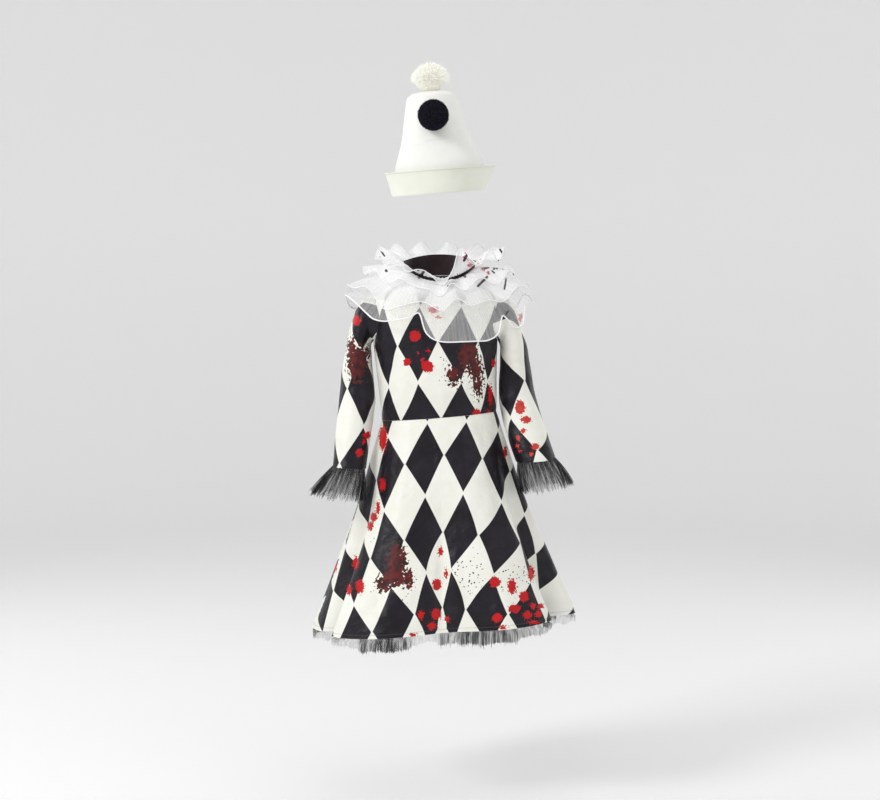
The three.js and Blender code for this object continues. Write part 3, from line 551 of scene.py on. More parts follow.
# Sleeves
# Two long one-piece sleeves of the same satin, set into the armholes, with a turned hem at the wrist. They
# bend forward a little at the elbow. Each is a tube on its own sections, with soft creases at the elbow and
# the armpit.
SLEEVE_LEFT = table(
    "place inner_x inner_z outer_x outer_z half_depth mid_y",
    (1, 136, -119, 153, -32, 45, 1), (2, 137, -122, 166, -49, 47, 1), (3, 138, -127, 176, -76, 48, 2),
    (4, 138, -135, 184, -106, 48, 3), (5, 137, -150, 190, -138, 46, 4),
    (6, 134, -177, 197, -176, 43, 5), (7, 131, -207, 200, -207, 41, 4),
    (8, 130, -240, 203, -241, 39, -3), (9, 134, -278, 206, -277, 37, -18),
    (10, 140, -322, 209, -319, 35, -37), (11, 146, -366, 212, -362, 33, -54),
)
SLEEVE_RIGHT = table(
    "place inner_x inner_z outer_x outer_z half_depth mid_y",
    (1, 118, -119, 138, -32, 45, 1), (2, 119, -122, 153, -49, 47, 1), (3, 120, -127, 164, -77, 48, 2),
    (4, 120, -135, 171, -107, 48, 3), (5, 120, -150, 177, -140, 46, 4),
    (6, 119, -178, 183, -178, 44, 5), (7, 118, -208, 188, -210, 42, 4),
    (8, 119, -241, 196, -243, 41, -3), (9, 126, -277, 206, -277, 40, -18),
    (10, 137, -314, 217, -310, 40, -35), (11, 150, -353, 229, -347, 39, -52),
)
# Pieces stay this far apart where they are sewn together
SEAM_GAP = 0.3
LEFT_SLEEVE_DROPS = table(
    MARK_COLUMNS,
    (-167, -75, 8, 10), (-160, -28, 5, 9), (-146, -304, 8, 7), (-161, -339, 7, 8), (-152, -318, 4, 4),
)
LEFT_SLEEVE_SMEARS = table(
    MARK_COLUMNS,
    (-166, -160, 20, 36), (-176, -132, 10, 22), (-146, -140, 7, 14),
)
LEFT_SLEEVE_FLECKS = table(
    MARK_COLUMNS,
    (-170, -112, 20, 30), (-186, -170, 8, 30),
)
RIGHT_SLEEVE_DROPS = table(
    MARK_COLUMNS,
    (160, -248, 10, 14), (172, -273, 10, 7), (191, -327, 8, 7), (166, -296, 5, 5), (156, -310, 4, 5),
    (155, -326, 3, 4), (160, -336, 4, 3), (182, -342, 4, 4),
)
# One mark that lies far off the cloth
NO_MARKS = table(MARK_COLUMNS, (0, 900, 1, 1))
LEFT_SLEEVE_CREASES = table(
    CREASE_COLUMNS,
    (-132, -150, -176, -118, 8, 1.6), (-134, -172, -180, -150, 9, -1.6),
    (-130, -236, -178, -216, 8, 1.7), (-132, -256, -184, -244, 8, -1.8),
    (-136, -276, -186, -266, 8, 1.4), (-196, -300, -150, -312, 9, 1.2),
    (-150, -352, -196, -334, 8, -1.2),
)
RIGHT_SLEEVE_CREASES = table(
    CREASE_COLUMNS,
    (118, -150, 160, -120, 8, 1.6), (120, -172, 168, -150, 9, -1.6), (118, -238, 164, -214, 8, 1.7),
    (122, -258, 176, -240, 8, -1.8), (128, -280, 184, -268, 8, 1.4), (206, -300, 150, -306, 9, 1.2),
    (154, -338, 204, -322, 8, -1.2),
)
LEFT_SLEEVE_CROSSINGS = table(
    CROSSING_COLUMNS,
    (-188, -58, 0.5, 1), (-154, -134, 1, 0.5), (-185, -210, 0.5, 0), (-154, -288, 1, -0.5),
)
RIGHT_SLEEVE_CROSSINGS = table(
    CROSSING_COLUMNS,
    (120, -128, 0, 0.5), (169, -194, 0.5, 0), (142, -270, 0, -0.5), (211, -291, 1, -0.5),
    (195, -334, 0.5, -1),
)
dusty_satin = satin_material("harlequin_satin_dusty_drops", drop_colour=(0.60, 0.06, 0.045, 1))


def arm_section(rows, side, turn, place):
    """Point on a sleeve's section; turn 0 is its outer line and 180 the line next to the body."""
    value = values_at(rows, place)
    share = (1 + cosine(turn)) / 2
    x = value["inner_x"] + (value["outer_x"] - value["inner_x"]) * share
    z = value["inner_z"] + (value["outer_z"] - value["inner_z"]) * share
    return np.stack([side * x, value["mid_y"] - value["half_depth"] * sine(turn), z], -1)


def unit(vectors):
    return vectors / np.linalg.norm(vectors, axis=-1, keepdims=True)


def closed_ring(points):
    """A grid that goes all round, with its first column once more at the end."""
    return np.concatenate([points, points[:, :1]], 1)


def sleeve_points(rows, side, turn, place):
    """Points of a sleeve: the armhole's edge at place 0, its sections from place 1 on."""
    cap = ARMHOLE_MIDDLE + ARMHOLE_HALF * cosine(turn)
    angle = side * (90 - ARMHOLE_HALF_ANGLE * sine(turn))
    loop = torso(angle, cap)
    step = 1e-3
    out = np.cross(torso(angle + step, cap) - torso(angle - step, cap), torso(angle, cap + step) - loop)
    loop = loop + SEAM_GAP * unit(out)
    section = arm_section(rows, side, turn, np.maximum(place, 1))
    share = np.clip(place, 0, 1)[..., None]
    return loop + (section - loop) * share


def sleeve(name, rows, side, print_at, crossings, prints, crease_rows, outside):
    """One sleeve from wrist to armhole; side is -1 on the left of the picture and 1 on the right."""
    columns, lines = 112, 130
    # The columns start at the back of the arm, where the cut's ends meet, and cross its front towards +X
    turn = 90 + side * (180 - 360 * np.arange(columns) / columns)
    turns, places = np.meshgrid(turn, np.linspace(0, len(rows["place"]), lines))
    points = sleeve_points(rows, side, turns, places)[::-1]
    normal = facing(points, closed=True)
    ring = closed_ring(points)
    cut = arc_cut(ring, columns // 2)
    length = cut[-1, 0, 1]
    rise = creases(points, normal, crease_rows) + 0.45 * rumple(points, 60, 21 + side)
    along, up = cut[:, :-1, 0], cut[:, :-1, 1]
    rise = rise + seam_dip(length - up, along) + 0.5 * seam_dip(up, along)
    points = points + rise[..., None] * normal
    printed = settle_print(cut - np.array(print_at), ring, crossings)
    satin_piece(name, points, normal, printed, prints, outside, closed=True)


left_prints = (LEFT_SLEEVE_DROPS, LEFT_SLEEVE_SMEARS, LEFT_SLEEVE_FLECKS)
right_prints = (RIGHT_SLEEVE_DROPS, NO_MARKS, NO_MARKS)
sleeve("sleeve_left", SLEEVE_LEFT, -1, (-64, 165), LEFT_SLEEVE_CROSSINGS, left_prints, LEFT_SLEEVE_CREASES,
       satin)
sleeve("sleeve_right", SLEEVE_RIGHT, 1, (-28, 168), RIGHT_SLEEVE_CROSSINGS, right_prints,
       RIGHT_SLEEVE_CREASES, dusty_satin)

# Skirt
# Two panels of the same satin, each a 72 degree piece of a ring, sewn to the waist and hanging in a few big
# soft folds. The hem is turned up and topstitched 6 mm above the edge.
SKIRT = table(
    "place middle half_width front back height lean",
    (0.0, -2, 115, 88, 82, -264, 0.08), (0.2, -1, 138, 106, 101, -346, 0.075),
    (0.45, 2, 166, 131, 129, -449, 0.07), (0.72, 5, 204, 164, 163, -557, 0.072),
    (1.0, 9, 245, 197, 198, -672, 0.075),
)
SKIRT_FOLDS = table(
    "angle reach drift",
    (2, -26, 0), (24, 16, 6), (44, 12, 10), (62, -24, 0), (82, 24, -8), (104, -24, 0), (126, 24, 6),
    (148, -26, 0), (168, 22, 4), (188, -22, 0), (210, 26, -6), (234, -24, 0), (256, 22, -4),
    (277, 10, 8), (296, -26, 0), (314, 20, -10), (338, 14, -6),
)
FOLD_GROWTH = 1.35
FLAT_WAIST_RADIUS, FLAT_LENGTH, PANEL_TURN = 255, 430, 72


def all_round(rows):
    """A table by angle with its first and last three rows repeated, so that it runs on all round."""
    def shifted(name):
        turn = 360 if name == "angle" else 0
        return np.concatenate([rows[name][-3:] - turn, rows[name], rows[name][:3] + turn])
    return {name: shifted(name) for name in rows}


folds_round = all_round(SKIRT_FOLDS)


def skirt(angle, place):
    """Point on the hanging skirt, from the waist (place 0) to the hem (place 1)."""
    value = values_at(SKIRT, place)
    growth = np.maximum(place, 0) ** FOLD_GROWTH
    reach = growth * smooth(folds_round, "reach", angle % 360, by="angle")
    drift = growth * smooth(folds_round, "drift", angle % 360, by="angle")
    squareness = CHEST_SQUARENESS + (1 - CHEST_SQUARENESS) * np.minimum(place, 1)
    half_width, front, back = (value[side] + reach for side in ("half_width", "front", "back"))
    x, y = around(angle + drift, half_width, front, back, squareness)
    return np.stack([value["middle"] + x, y, value["height"] - SEAM_GAP + value["lean"] * x], -1)


SKIRT_DROPS = table(
    MARK_COLUMNS,
    (-114, -311, 8, 24), (-115, -403, 6, 12), (-124, -450, 4, 13), (-132, -468, 7, 9),
    (-139, -486, 6, 9), (-169, -559, 6, 12), (-160, -607, 8, 14), (-182, -614, 5, 10), (1, -537, 5, 9),
    (-6, -603, 9, 12), (12, -581, 4, 10), (-38, -664, 6, 9), (-8, -662, 9, 11), (-16, -686, 9, 7),
    (-53, -705, 7, 5), (110, -598, 11, 11), (144, -607, 8, 15), (182, -581, 6, 14), (168, -627, 10, 10),
    (149, -651, 12, 9), (114, -670, 10, 9), (186, -646, 6, 6), (202, -646, 6, 5), (175, -664, 9, 8),
    (197, -662, 7, 7), (188, -679, 10, 4), (131, -337, 4, 10), (-210, -566, 4, 10), (126, -688, 8, 4),
    (14, -672, 5, 6),
)
SKIRT_SMEARS = table(
    MARK_COLUMNS,
    (-86, -558, 20, 34), (-112, -602, 16, 18), (-64, -592, 12, 20), (-92, -586, 22, 22),
)
SKIRT_FLECKS = table(
    MARK_COLUMNS,
    (-66, -626, 24, 28), (-140, -614, 14, 22), (-134, -510, 14, 24), (56, -576, 44, 60),
    (150, -594, 44, 44), (20, -668, 30, 24),
)
# Small dents in the hanging cloth, between the big folds
SKIRT_CREASES = table(
    CREASE_COLUMNS,
    (-60, -284, -84, -470, 12, 2.6), (40, -284, 60, -470, 12, 2.4), (-20, -280, -14, -380, 10, -1.8),
    (84, -290, 130, -500, 12, -3.0), (-96, -300, -140, -520, 11, -2.8), (110, -600, 150, -690, 14, 3.2),
    (-120, -620, -60, -690, 14, 3.0), (60, -620, 96, -690, 14, -3.0), (4, -440, 2, -690, 13, -5.0),
    (-100, -500, -128, -680, 12, -2.6), (30, -520, 40, -680, 12, 2.6),
)
BACK_SKIRT_CREASES = table(
    CREASE_COLUMNS,
    (60, -284, 80, -420, 12, 1.6), (-50, -284, -66, -430, 12, 1.5), (10, -280, 12, -400, 10, -1.4),
    (-90, -560, -120, -690, 14, 2.2), (90, -560, 130, -690, 14, -2.2),
)
SKIRT_CROSSINGS = table(
    CROSSING_COLUMNS,
    (-25, -278, 0, 0.5), (53, -276, 1, 0.5), (-71, -362, -0.5, 0), (9, -344, 0.5, 0),
    (86, -352, 1.5, 0), (-112, -456, -1, -0.5), (-30, -425, 0, -0.5), (45, -421, 1, -0.5),
    (123, -437, 2, -0.5), (-141, -551, -1.5, -1), (-70, -516, -0.5, -1), (7, -498, 0.5, -1),
    (76, -503, 1.5, -1), (160, -520, 2.5, -1), (-171, -642, -2, -1.5), (-27, -579, 0, -1.5),
    (23, -574, 1, -1.5), (110, -583, 2, -1.5), (-48, -662, -0.5, -2), (4, -648, 0.5, -2),
    (50, -653, 1.5, -2), (134, -664, 2.5, -2), (-4, -692, 0.2, -2.3), (12, -692, 0.8, -2.3),
)
HEM_STITCH_ABOVE = 6


def skirt_panel(name, from_angle, to_angle, crease_rows, side, print_at, crossings=None):
    """One panel; its flat cut is a piece of a ring. Its points and their normals are given back."""
    lines, columns = 121, 177
    angles, places = np.meshgrid(np.linspace(from_angle, to_angle, columns), np.linspace(0, 1, lines))
    points = skirt(angles, places)[::-1]
    normal = facing(points)
    across = arc_cut(points, 0)[..., 0]
    width = across[:, -1:]
    share = across / width
    turn = (share - 0.5) * PANEL_TURN
    down = FLAT_LENGTH * places[::-1]
    radius = FLAT_WAIST_RADIUS + down
    printed = np.stack([radius * sine(turn), -radius * cosine(turn)], -1) - np.array(print_at)
    rise = creases(points, normal, crease_rows, side) + 0.8 * rumple(points, 110, 31) * places[::-1]
    rise = rise + seam_dip(across, down) + seam_dip(width - across, down)
    above_stitches = FLAT_LENGTH - down - HEM_STITCH_ABOVE
    rise = rise + seam_dip(down, across) + 0.7 * seam_dip(above_stitches * 2, across)
    points = points + rise[..., None] * normal
    if crossings:
        printed = settle_print(printed, points, crossings)
    prints = (SKIRT_DROPS, SKIRT_SMEARS, SKIRT_FLECKS)
    satin_piece(name, points, normal, printed, prints)
    return points, normal


skirt_panels = (
    skirt_panel("skirt_front", -90, 90, SKIRT_CREASES, -1, (-27, -330), SKIRT_CROSSINGS),
    skirt_panel("skirt_back", 90, 270, BACK_SKIRT_CREASES, 1, (15, -330)),
)

# Topstitching: short grey stitches 6 mm above the skirt's hem
STITCH_LENGTH, STITCH_PITCH, STITCH_WIDTH = 2.6, 3.6, 0.55


def stitch_row(line, outward):
    """Corners of small stitches along a line of points, each a flat-bottomed bar with a raised back."""
    steps = np.linalg.norm(np.diff(line, axis=0), axis=-1)
    along = np.concatenate([[0], np.cumsum(steps)])
    starts = np.arange(0, along[-1] - STITCH_LENGTH, STITCH_PITCH)

    def at(values, s):
        return np.stack([np.interp(s, along, values[:, k]) for k in range(3)], -1)

    first, last = at(line, starts), at(line, starts + STITCH_LENGTH)
    up = at(outward, starts + STITCH_LENGTH / 2)
    sideways = unit(np.cross(last - first, up)) * STITCH_WIDTH / 2
    middle = (first + last) / 2 + up * STITCH_WIDTH * 0.7
    inset = (last - first) * 0.25
    corners = [first, middle - inset - sideways, middle - inset + sideways, middle + inset - sideways,
               middle + inset + sideways, last, (first + last) / 2 - up * 0.2]
    return np.stack([c + up * 0.05 for c in corners], 1)


STITCH_FACES = np.array([
    (0, 2, 1, 1), (1, 2, 4, 3), (3, 4, 5, 5), (0, 1, 6, 6), (1, 3, 6, 6), (3, 5, 6, 6), (2, 0, 6, 6),
    (4, 2, 6, 6), (5, 4, 6, 6),
])


def stitches(name, rows_of_corners, colour, slot):
    """A piece of sewing thread: seven corners for each stitch."""
    thread, tree, surface = new_material(name + "_thread", roughness=0.6)
    place = shader(tree, "TexCoord").outputs["Object"]
    darker = tuple(0.7 * c for c in colour[:3]) + (1,)
    twist = ramp(tree, noise(tree, place, 2500, 1), 0.4, 0.6)
    feed(tree, surface, base_color=blend_colours(tree, twist, darker, colour))
    corners = np.concatenate(rows_of_corners)
    faces = (STITCH_FACES[None] + 7 * np.arange(len(corners))[:, None, None]).reshape(-1, 4)
    faces = [face[:3] if face[2] == face[3] else face for face in faces.tolist()]
    mesh = new_mesh(name, corners, faces, rounded=False)
    return place_piece(name, mesh, (thread,), slot)


hem_rows = []
for points, out in skirt_panels:
    near_hem = max(1, round(HEM_STITCH_ABOVE / FLAT_LENGTH * (len(points) - 1)))
    hem_rows.append(stitch_row(points[near_hem], out[near_hem]))
stitches("hem_topstitching", hem_rows, (0.16, 0.15, 0.16, 1), "harlequin_satin")

# Net frills
# Strips of soft black net, gathered into crimps and sewn inside the sleeve ends and inside the skirt just
# above its hem. Their cut edges are ragged and thin out to wisps.
NET_CELL, NET_THREAD = 0.0030, 0.2


def drawn_noise(tree, cut, across, down, detail):
    """Noise drawn out down the cloth: across and down say how many swells a metre has each way."""
    drawn = shader(tree, "Mapping", {"Vector": cut, "Scale": (across, down, 1)}).outputs[0]
    return noise(tree, drawn, 1.0, detail)


def net_material():
    """Fine black net: crossing threads with holes between them, thinning out to wisps at the cut edge."""
    material, tree, surface = new_material("black_net", roughness=0.75, specular_ior_level=0.25)
    cut = flat_cut(tree)
    fall, thick = attributes(tree, "fall", "thick")
    apart = shader(tree, "SeparateXYZ", {0: cut})
    total = None
    for across, down in ((1.0, 0.58), (1.0, -0.58), (0.0, 1.0)):
        line = calc(tree, "ADD", calc(tree, "MULTIPLY", apart.outputs[0], across / NET_CELL),
                    calc(tree, "MULTIPLY", apart.outputs[1], down / NET_CELL))
        gap = calc(tree, "ABSOLUTE", calc(tree, "SUBTRACT", calc(tree, "FRACT", line), 0.5))
        strand = ramp(tree, gap, 0.5 - NET_THREAD, 0.5 - NET_THREAD * 0.5)
        total = strand if total is None else calc(tree, "MAXIMUM", total, strand)
    streak = drawn_noise(tree, cut, 110, 12, 4)
    ends = drawn_noise(tree, cut, 620, 40, 3)
    streak = calc(tree, "MULTIPLY_ADD", ends, 0.5, calc(tree, "MULTIPLY", streak, 0.5))
    wisps = ramp(tree, calc(tree, "SUBTRACT", ends, ramp(tree, fall, 0.72, 1.0, 0.1, 0.66)), -0.03, 0.08)
    dense = ramp(tree, streak, 0.38, 0.62, 0.10, 0.80)
    lines = calc(tree, "MULTIPLY_ADD", total, 0.46, dense)
    cover = calc(tree, "MULTIPLY", calc(tree, "MULTIPLY", lines, thick), wisps)
    tone = blend_colours(tree, streak, (0.004, 0.004, 0.005, 1), (0.014, 0.013, 0.016, 1))
    feed(tree, surface, base_color=tone, alpha=calc(tree, "MINIMUM", cover, 1.0))
    return material


black_net = net_material()
CUFF_NET_LEFT = table(
    "place inner_x inner_z outer_x outer_z half_depth mid_y",
    (0, 149, -360, 209, -357, 30, -51), (1, 150, -396, 231, -385, 41, -66),
    (2, 154, -434, 256, -419, 54, -82),
)
CUFF_NET_RIGHT = table(
    "place inner_x inner_z outer_x outer_z half_depth mid_y",
    (0, 153, -347, 226, -342, 36, -49), (1, 155, -381, 245, -369, 45, -64),
    (2, 161, -418, 262, -400, 54, -80),
)
CUFF_NET_CRIMPS, CUFF_NET_WAVES, CUFF_NET_FLAT = 22, 10, (560, 78)


def strip_cut(points, width, length):
    """The flat cut of a straight strip that is sewn to a ring of points."""
    lines, columns = points.shape[:2]
    return np.stack(np.meshgrid(np.linspace(0, width, columns + 1), np.linspace(0, length, lines)), -1)


def net_piece(name, points, flat, fall, thick):
    """A gathered net strip; fall goes from 0 where it is sewn to 1 at its cut edge."""
    cut, marks = strip_cut(points, *flat), {"fall": fall, "thick": thick}
    mesh = cloth_mesh(name + "_tulle", points, 0, closed=True, cut=cut, marks=marks)
    piece = place_piece(name + "_tulle", mesh, (black_net,), "black_net", name)


def cuff_net(name, rows, side, seed):
    """A net frill that spreads out below the sleeve's end, in crimps and waves."""
    columns, lines = 440, 30
    turn = 360 * np.arange(columns) / columns * side
    turns, places = np.meshgrid(turn, np.linspace(0, 2, lines))
    points = arm_section(rows, side, turns, places)
    normal = facing(points, closed=True)
    share = places / 2
    swing = 0.7 * rumple(points * [1, 1, 0], 70, seed)
    crimp = np.sin(np.radians(turns * CUFF_NET_CRIMPS) + 2.2 * swing)
    big = sine(turns * CUFF_NET_WAVES)
    points = points - normal * (share * (5.5 * crimp + 4.5 * big))[..., None]
    jag = np.random.default_rng(seed).uniform(-1, 1, columns)
    jag = np.convolve(np.tile(jag, 3), [0.25, 0.5, 0.25], "same")[columns : 2 * columns]
    points[..., 2] += 7 * jag * share**4
    net_piece(name, points, CUFF_NET_FLAT, share, 1.15 - 0.65 * share)


cuff_net("cuff_net_left", CUFF_NET_LEFT, -1, 41)
cuff_net("cuff_net_right", CUFF_NET_RIGHT, 1, 42)

HEM_NET_FLAT, HEM_NET_CRIMPS, HEM_NET_WAVES, HEM_NET_TUFTS = (1900, 84), 150, 48, 37
HEM_NET_START, HEM_NET_BELOW = 0.9, 34
# How thick the gathered net looks along the front of the hem, as the eye sees it
HEM_NET_THICKNESS = table(
    "place share",
    (-260, 0.3), (-190, 0.35), (-166, 0.5), (-156, 1.0), (-140, 0.9), (-128, 1.1), (-66, 1.05),
    (-52, 0.35), (-10, 0.3), (4, 0.8), (36, 0.75), (44, 1.1), (150, 1.05), (160, 0.7), (210, 0.6),
    (230, 0.35), (280, 0.3),
)
THICKNESS_BEHIND = 0.95


def hem_net():
    """The net frill that follows the skirt inside its hem and shows below it."""
    columns, lines = 1800, 14
    turn = 360 * np.arange(columns) / columns
    turns, downs = np.meshgrid(turn, np.linspace(0, 1, lines))
    # The strip hangs inside the skirt until this is 1, at the skirt's edge, and below it from there
    drop = downs * 1.8
    inside = HEM_NET_START + (1 - HEM_NET_START) * np.clip(drop, 0, 1)
    points = skirt(turns, inside)
    normal = -facing(points, closed=True)
    points = points - normal * (2.4 + 2.6 * downs)[..., None]
    below = np.clip((drop - 1) / 0.8, 0, 1)
    crimp = np.sin(np.radians(turns * HEM_NET_CRIMPS) + 3 * rumple(points * [1, 1, 0], 90, 52))
    wave = np.sin(np.radians(turns * HEM_NET_WAVES) + 2 * rumple(points * [1, 1, 0], 160, 53))
    points = points - normal * ((0.4 + 0.6 * downs) * (1.4 * (1 + crimp) + 1.6 * (1 + wave)))[..., None]
    jag = np.convolve(np.random.default_rng(51).uniform(-1, 1, columns), np.ones(7) / 7, "same")
    tuft = 0.5 + 0.5 * np.sin(np.radians(turn * HEM_NET_TUFTS) + 2 * sine(turn * 5))
    across = np.clip(seen(points)[0], -260, 280)
    thick = np.where(points[..., 1] < 20, smooth(HEM_NET_THICKNESS, "share", across), THICKNESS_BEHIND)
    points[..., 2] -= below * ((0.5 + 0.55 * np.clip(thick, 0, 1)) * HEM_NET_BELOW - 4 * tuft + 5 * jag)
    net_piece("hem_net", points, HEM_NET_FLAT, downs, thick)


hem_net()

# Ruff
# Four gathered frills of sheer white organza, sewn one below the other to a stand band round the neck; the
# band's dark colour is partly its own and partly painted shade.
# Each frill's edge is rolled over a white cord that holds it in waves. The organza is printed with dark
# flecks and streaks and a few red drops.
RUFF_BAND = table(
    "place half_width front back side_z front_z back_z",
    (0, 62, 60, 58, 8, -14, 16), (1, 73, 66, 66, 44, 12, 58),
)
RUFF_TOP = table(
    "angle reach height",
    (4, 90, -4), (16, 84, 22), (30, 82, 66), (44, 108, 36), (58, 116, 66), (71, 122, 42), (85, 128, 72),
    (99, 128, 50), (113, 124, 78), (127, 124, 58), (141, 118, 84), (155, 122, 62), (170, 114, 86),
    (185, 120, 64), (200, 114, 86), (215, 122, 62), (229, 118, 82), (243, 126, 56), (257, 124, 76),
    (270, 130, 46), (283, 124, 64), (296, 120, 34), (309, 110, 44), (321, 104, 22), (333, 96, 26),
    (346, 88, 18),
)
RUFF_UPPER = table(
    "angle reach height",
    (1, 103, -26), (13, 100, -2), (27, 110, -14), (42, 118, 10), (57, 132, -4), (72, 144, 24),
    (88, 154, 10), (104, 148, 34), (120, 146, 14), (136, 138, 36), (152, 138, 14), (168, 132, 36),
    (184, 136, 16), (200, 132, 38), (216, 140, 14), (232, 140, 34), (248, 150, 10), (263, 154, 34),
    (278, 150, 18), (293, 138, 24), (307, 128, -2), (318, 116, 8), (334, 106, -8), (349, 102, -14),
)
RUFF_MIDDLE = table(
    "angle reach height",
    (2, 124, -54), (15, 124, -32), (27, 130, -44), (43, 138, -34), (57, 148, -36), (72, 164, -6),
    (87, 182, -16), (103, 172, 4), (120, 166, -24), (137, 156, -2), (154, 154, -28), (171, 148, -4),
    (188, 152, -28), (205, 150, -4), (222, 160, -26), (239, 162, 0), (256, 176, -20), (271, 184, -4),
    (284, 174, -10), (297, 160, -8), (311, 146, -50), (324, 134, -46), (336, 126, -38), (348, 122, -40),
)
RUFF_BOTTOM = table(
    "angle reach height",
    (10, 142, -114), (30, 146, -113), (40, 150, -110), (49, 152, -96), (55, 150, -64), (62, 162, -86),
    (69, 174, -80), (76, 174, -40), (92, 186, -42), (108, 178, -24), (124, 170, -76), (140, 158, -56),
    (156, 156, -92), (173, 148, -66), (190, 154, -94), (207, 150, -64), (224, 162, -88),
    (241, 166, -50), (257, 182, -50), (272, 188, -26), (285, 178, -34), (296, 164, -56),
    (307, 158, -72), (323, 148, -73), (335, 142, -67), (342, 130, -60), (349, 140, -97),
    (358, 141, -112),
)
BAND_WALL, BAND_FLAT = 1.4, (0.43, 0.045)
STREAK_COLUMNS, STREAK_SPREAD = "x0 z0 x1 z1 width", 0.7
CURVED_CUT_SHARE, FRILL_GATHERS, ORGANZA_PITCH = 0.84, 74, 0.0007
CORD_RADIUS = {"ruff_top": 0.8, "ruff_upper": 0.9, "ruff_middle": 1.0, "ruff_bottom": 1.5}
RUFF_DROPS = table(
    MARK_COLUMNS,
    (-39, 39, 7, 3), (-28, 33, 5, 3), (52, 66, 4, 7), (50, 50, 4, 6), (83, 72, 8, 5), (60, 36, 6, 4),
    (87, 29, 5, 4), (-14, -54, 10, 6), (-4, -68, 6, 3), (161, -71, 4, 9), (96, 20, 3, 3),
)
RUFF_FLECKS = table(
    MARK_COLUMNS,
    (70, 46, 30, 30), (112, 36, 26, 26), (-38, 30, 16, 16), (150, 20, 30, 40), (-128, 50, 24, 24),
)
# Dark streaks and dots, each from one point to another as the eye sees them
RUFF_STREAKS = table(
    STREAK_COLUMNS,
    (-128, 79, -111, 54, 0.9), (-162, 26, -133, 43, 0.6), (-124, 44, -123, 44, 1.3),
    (-108, 25, -107, 24, 2.0), (-47, 36, -38, 40, 1.0), (-38, 40, -26, 36, 0.9),
    (-33, 22, -42, 11, 2.2), (-44, 26, -40, 28, 1.3), (6, 26, 7, 20, 0.9), (10, 13, 11, 14, 1.4),
    (16, -6, 17, -6, 1.4), (50, 74, 54, 58, 1.8), (54, 56, 48, 45, 2.0), (66, 52, 67, 51, 1.5),
    (76, 37, 77, 36, 1.9), (90, 29, 97, 31, 1.3), (98, 43, 98, 36, 1.0), (111, 42, 108, 28, 1.4),
    (116, 43, 114, 29, 1.6), (118, 45, 126, 28, 1.2), (120, 67, 126, 58, 1.3), (76, -6, 94, 12, 1.9),
    (49, 14, 50, 13, 2.2), (134, 20, 129, -12, 1.3), (145, 25, 146, 24, 1.4), (147, 18, 148, 17, 1.3),
    (163, -15, 164, -15, 1.6), (127, -71, 136, -57, 1.6), (86, 66, 80, 56, 1.4),
    (104, 24, 109, 20, 1.0),
)


def band_points(angle, place):
    """Point on the stand band, from the neck seam (place 0) to its upper edge (place 1)."""
    value = values_at(RUFF_BAND, place)
    x, y = around(angle, value["half_width"], value["front"], value["back"], CHEST_SQUARENESS)
    z = SEAM_GAP + height_round(angle, value["side_z"], value["front_z"], value["back_z"])
    return np.stack([x, y, z], -1)


def ribbon_material():
    """Dark satin ribbon with fine ribs across it. Its dark red-brown colour is partly the ribbon's own and
    partly painted shade, the shade inside the ruff round the neck.
    """
    material, tree, surface = new_material("dark_ribbon", roughness=0.5, specular_ior_level=0.25)
    cut = flat_cut(tree)
    tone = ramp(tree, noise(tree, cut, 40, 3), 0.3, 0.7)
    ribs = use_effect(tree, threads, {"Cut": cut, "Along": 200.0, "Across": 2500.0}).outputs["Height"]
    # Painted shade: the dark red-brown stands partly for the shade inside the ruff round the neck
    dark = blend_colours(tree, tone, (0.010, 0.004, 0.006, 1), (0.024, 0.008, 0.010, 1))
    feed(tree, surface, base_color=dark, normal=bump(tree, ribs, 0.4, 0.0003))
    return material


def organza_material():
    """Sheer white organza: a see-through weave, denser near the band, in its gathers and where printed."""
    # The emission is a painted glow: it stands in for light that comes through the sheer cloth from behind
    material, tree, surface = new_material(
        "white_organza", roughness=0.38, sheen_weight=0.5, sheen_roughness=0.4, emission_strength=0.09,
    )
    cut = flat_cut(tree)
    fall, drops, streaks, flecks = attributes(tree, "fall", "drops", "streaks", "flecks")
    printed = use_effect(tree, spatter, {
        "Cut": cut, "Drops": drops, "Flecks": flecks, "Ground": (0.98, 0.98, 0.985, 1),
        "Drop Colour": (0.50, 0.16, 0.17, 1),
    })
    streak_noise = calc(tree, "MULTIPLY_ADD", noise(tree, cut, 500, 3), 2.6, -1.3)
    streak = ramp(tree, calc(tree, "ADD", streaks, streak_noise), -0.1, 0.25)
    colour = blend_colours(tree, streak, printed.outputs["Colour"], (0.02, 0.012, 0.014, 1))
    darkness = shader(tree, "SeparateColor", {0: colour}).outputs[1]
    inked = ramp(tree, darkness, 0.3, 0.85, 0.5, 0.0)
    gathers = ramp(tree, drawn_noise(tree, cut, 150, 9, 3), 0.35, 0.7, 0.0, 0.08)
    near_band = ramp(tree, fall, 0.0, 0.8, 0.6, 0.0)
    apart = shader(tree, "SeparateXYZ", {0: cut})
    weave = None
    for axis in (0, 1):
        wave = calc(tree, "SINE", calc(tree, "MULTIPLY", apart.outputs[axis], 2 * math.pi / ORGANZA_PITCH))
        weave = wave if weave is None else calc(tree, "MAXIMUM", weave, wave)
    cover = calc(tree, "MULTIPLY_ADD", weave, 0.06, 0.19)
    for more in (gathers, near_band, inked):
        cover = calc(tree, "ADD", cover, more)
    feed(tree, surface, base_color=colour, emission_color=colour, alpha=calc(tree, "MINIMUM", cover, 1.0))
    return material


def cord_material():
    """White twisted cord inside the rolled edge of the organza."""
    material, tree, surface = new_material("white_rolled_edge", roughness=0.5, sheen_weight=0.4)
    twist = noise(tree, shader(tree, "TexCoord").outputs["Object"], 900, 2)
    share = ramp(tree, twist, 0.35, 0.65)
    feed(tree, surface, base_color=blend_colours(tree, share, (0.92, 0.92, 0.92, 1), (0.99, 0.99, 0.99, 1)),
         normal=bump(tree, twist, 0.4, 0.0004))
    return material


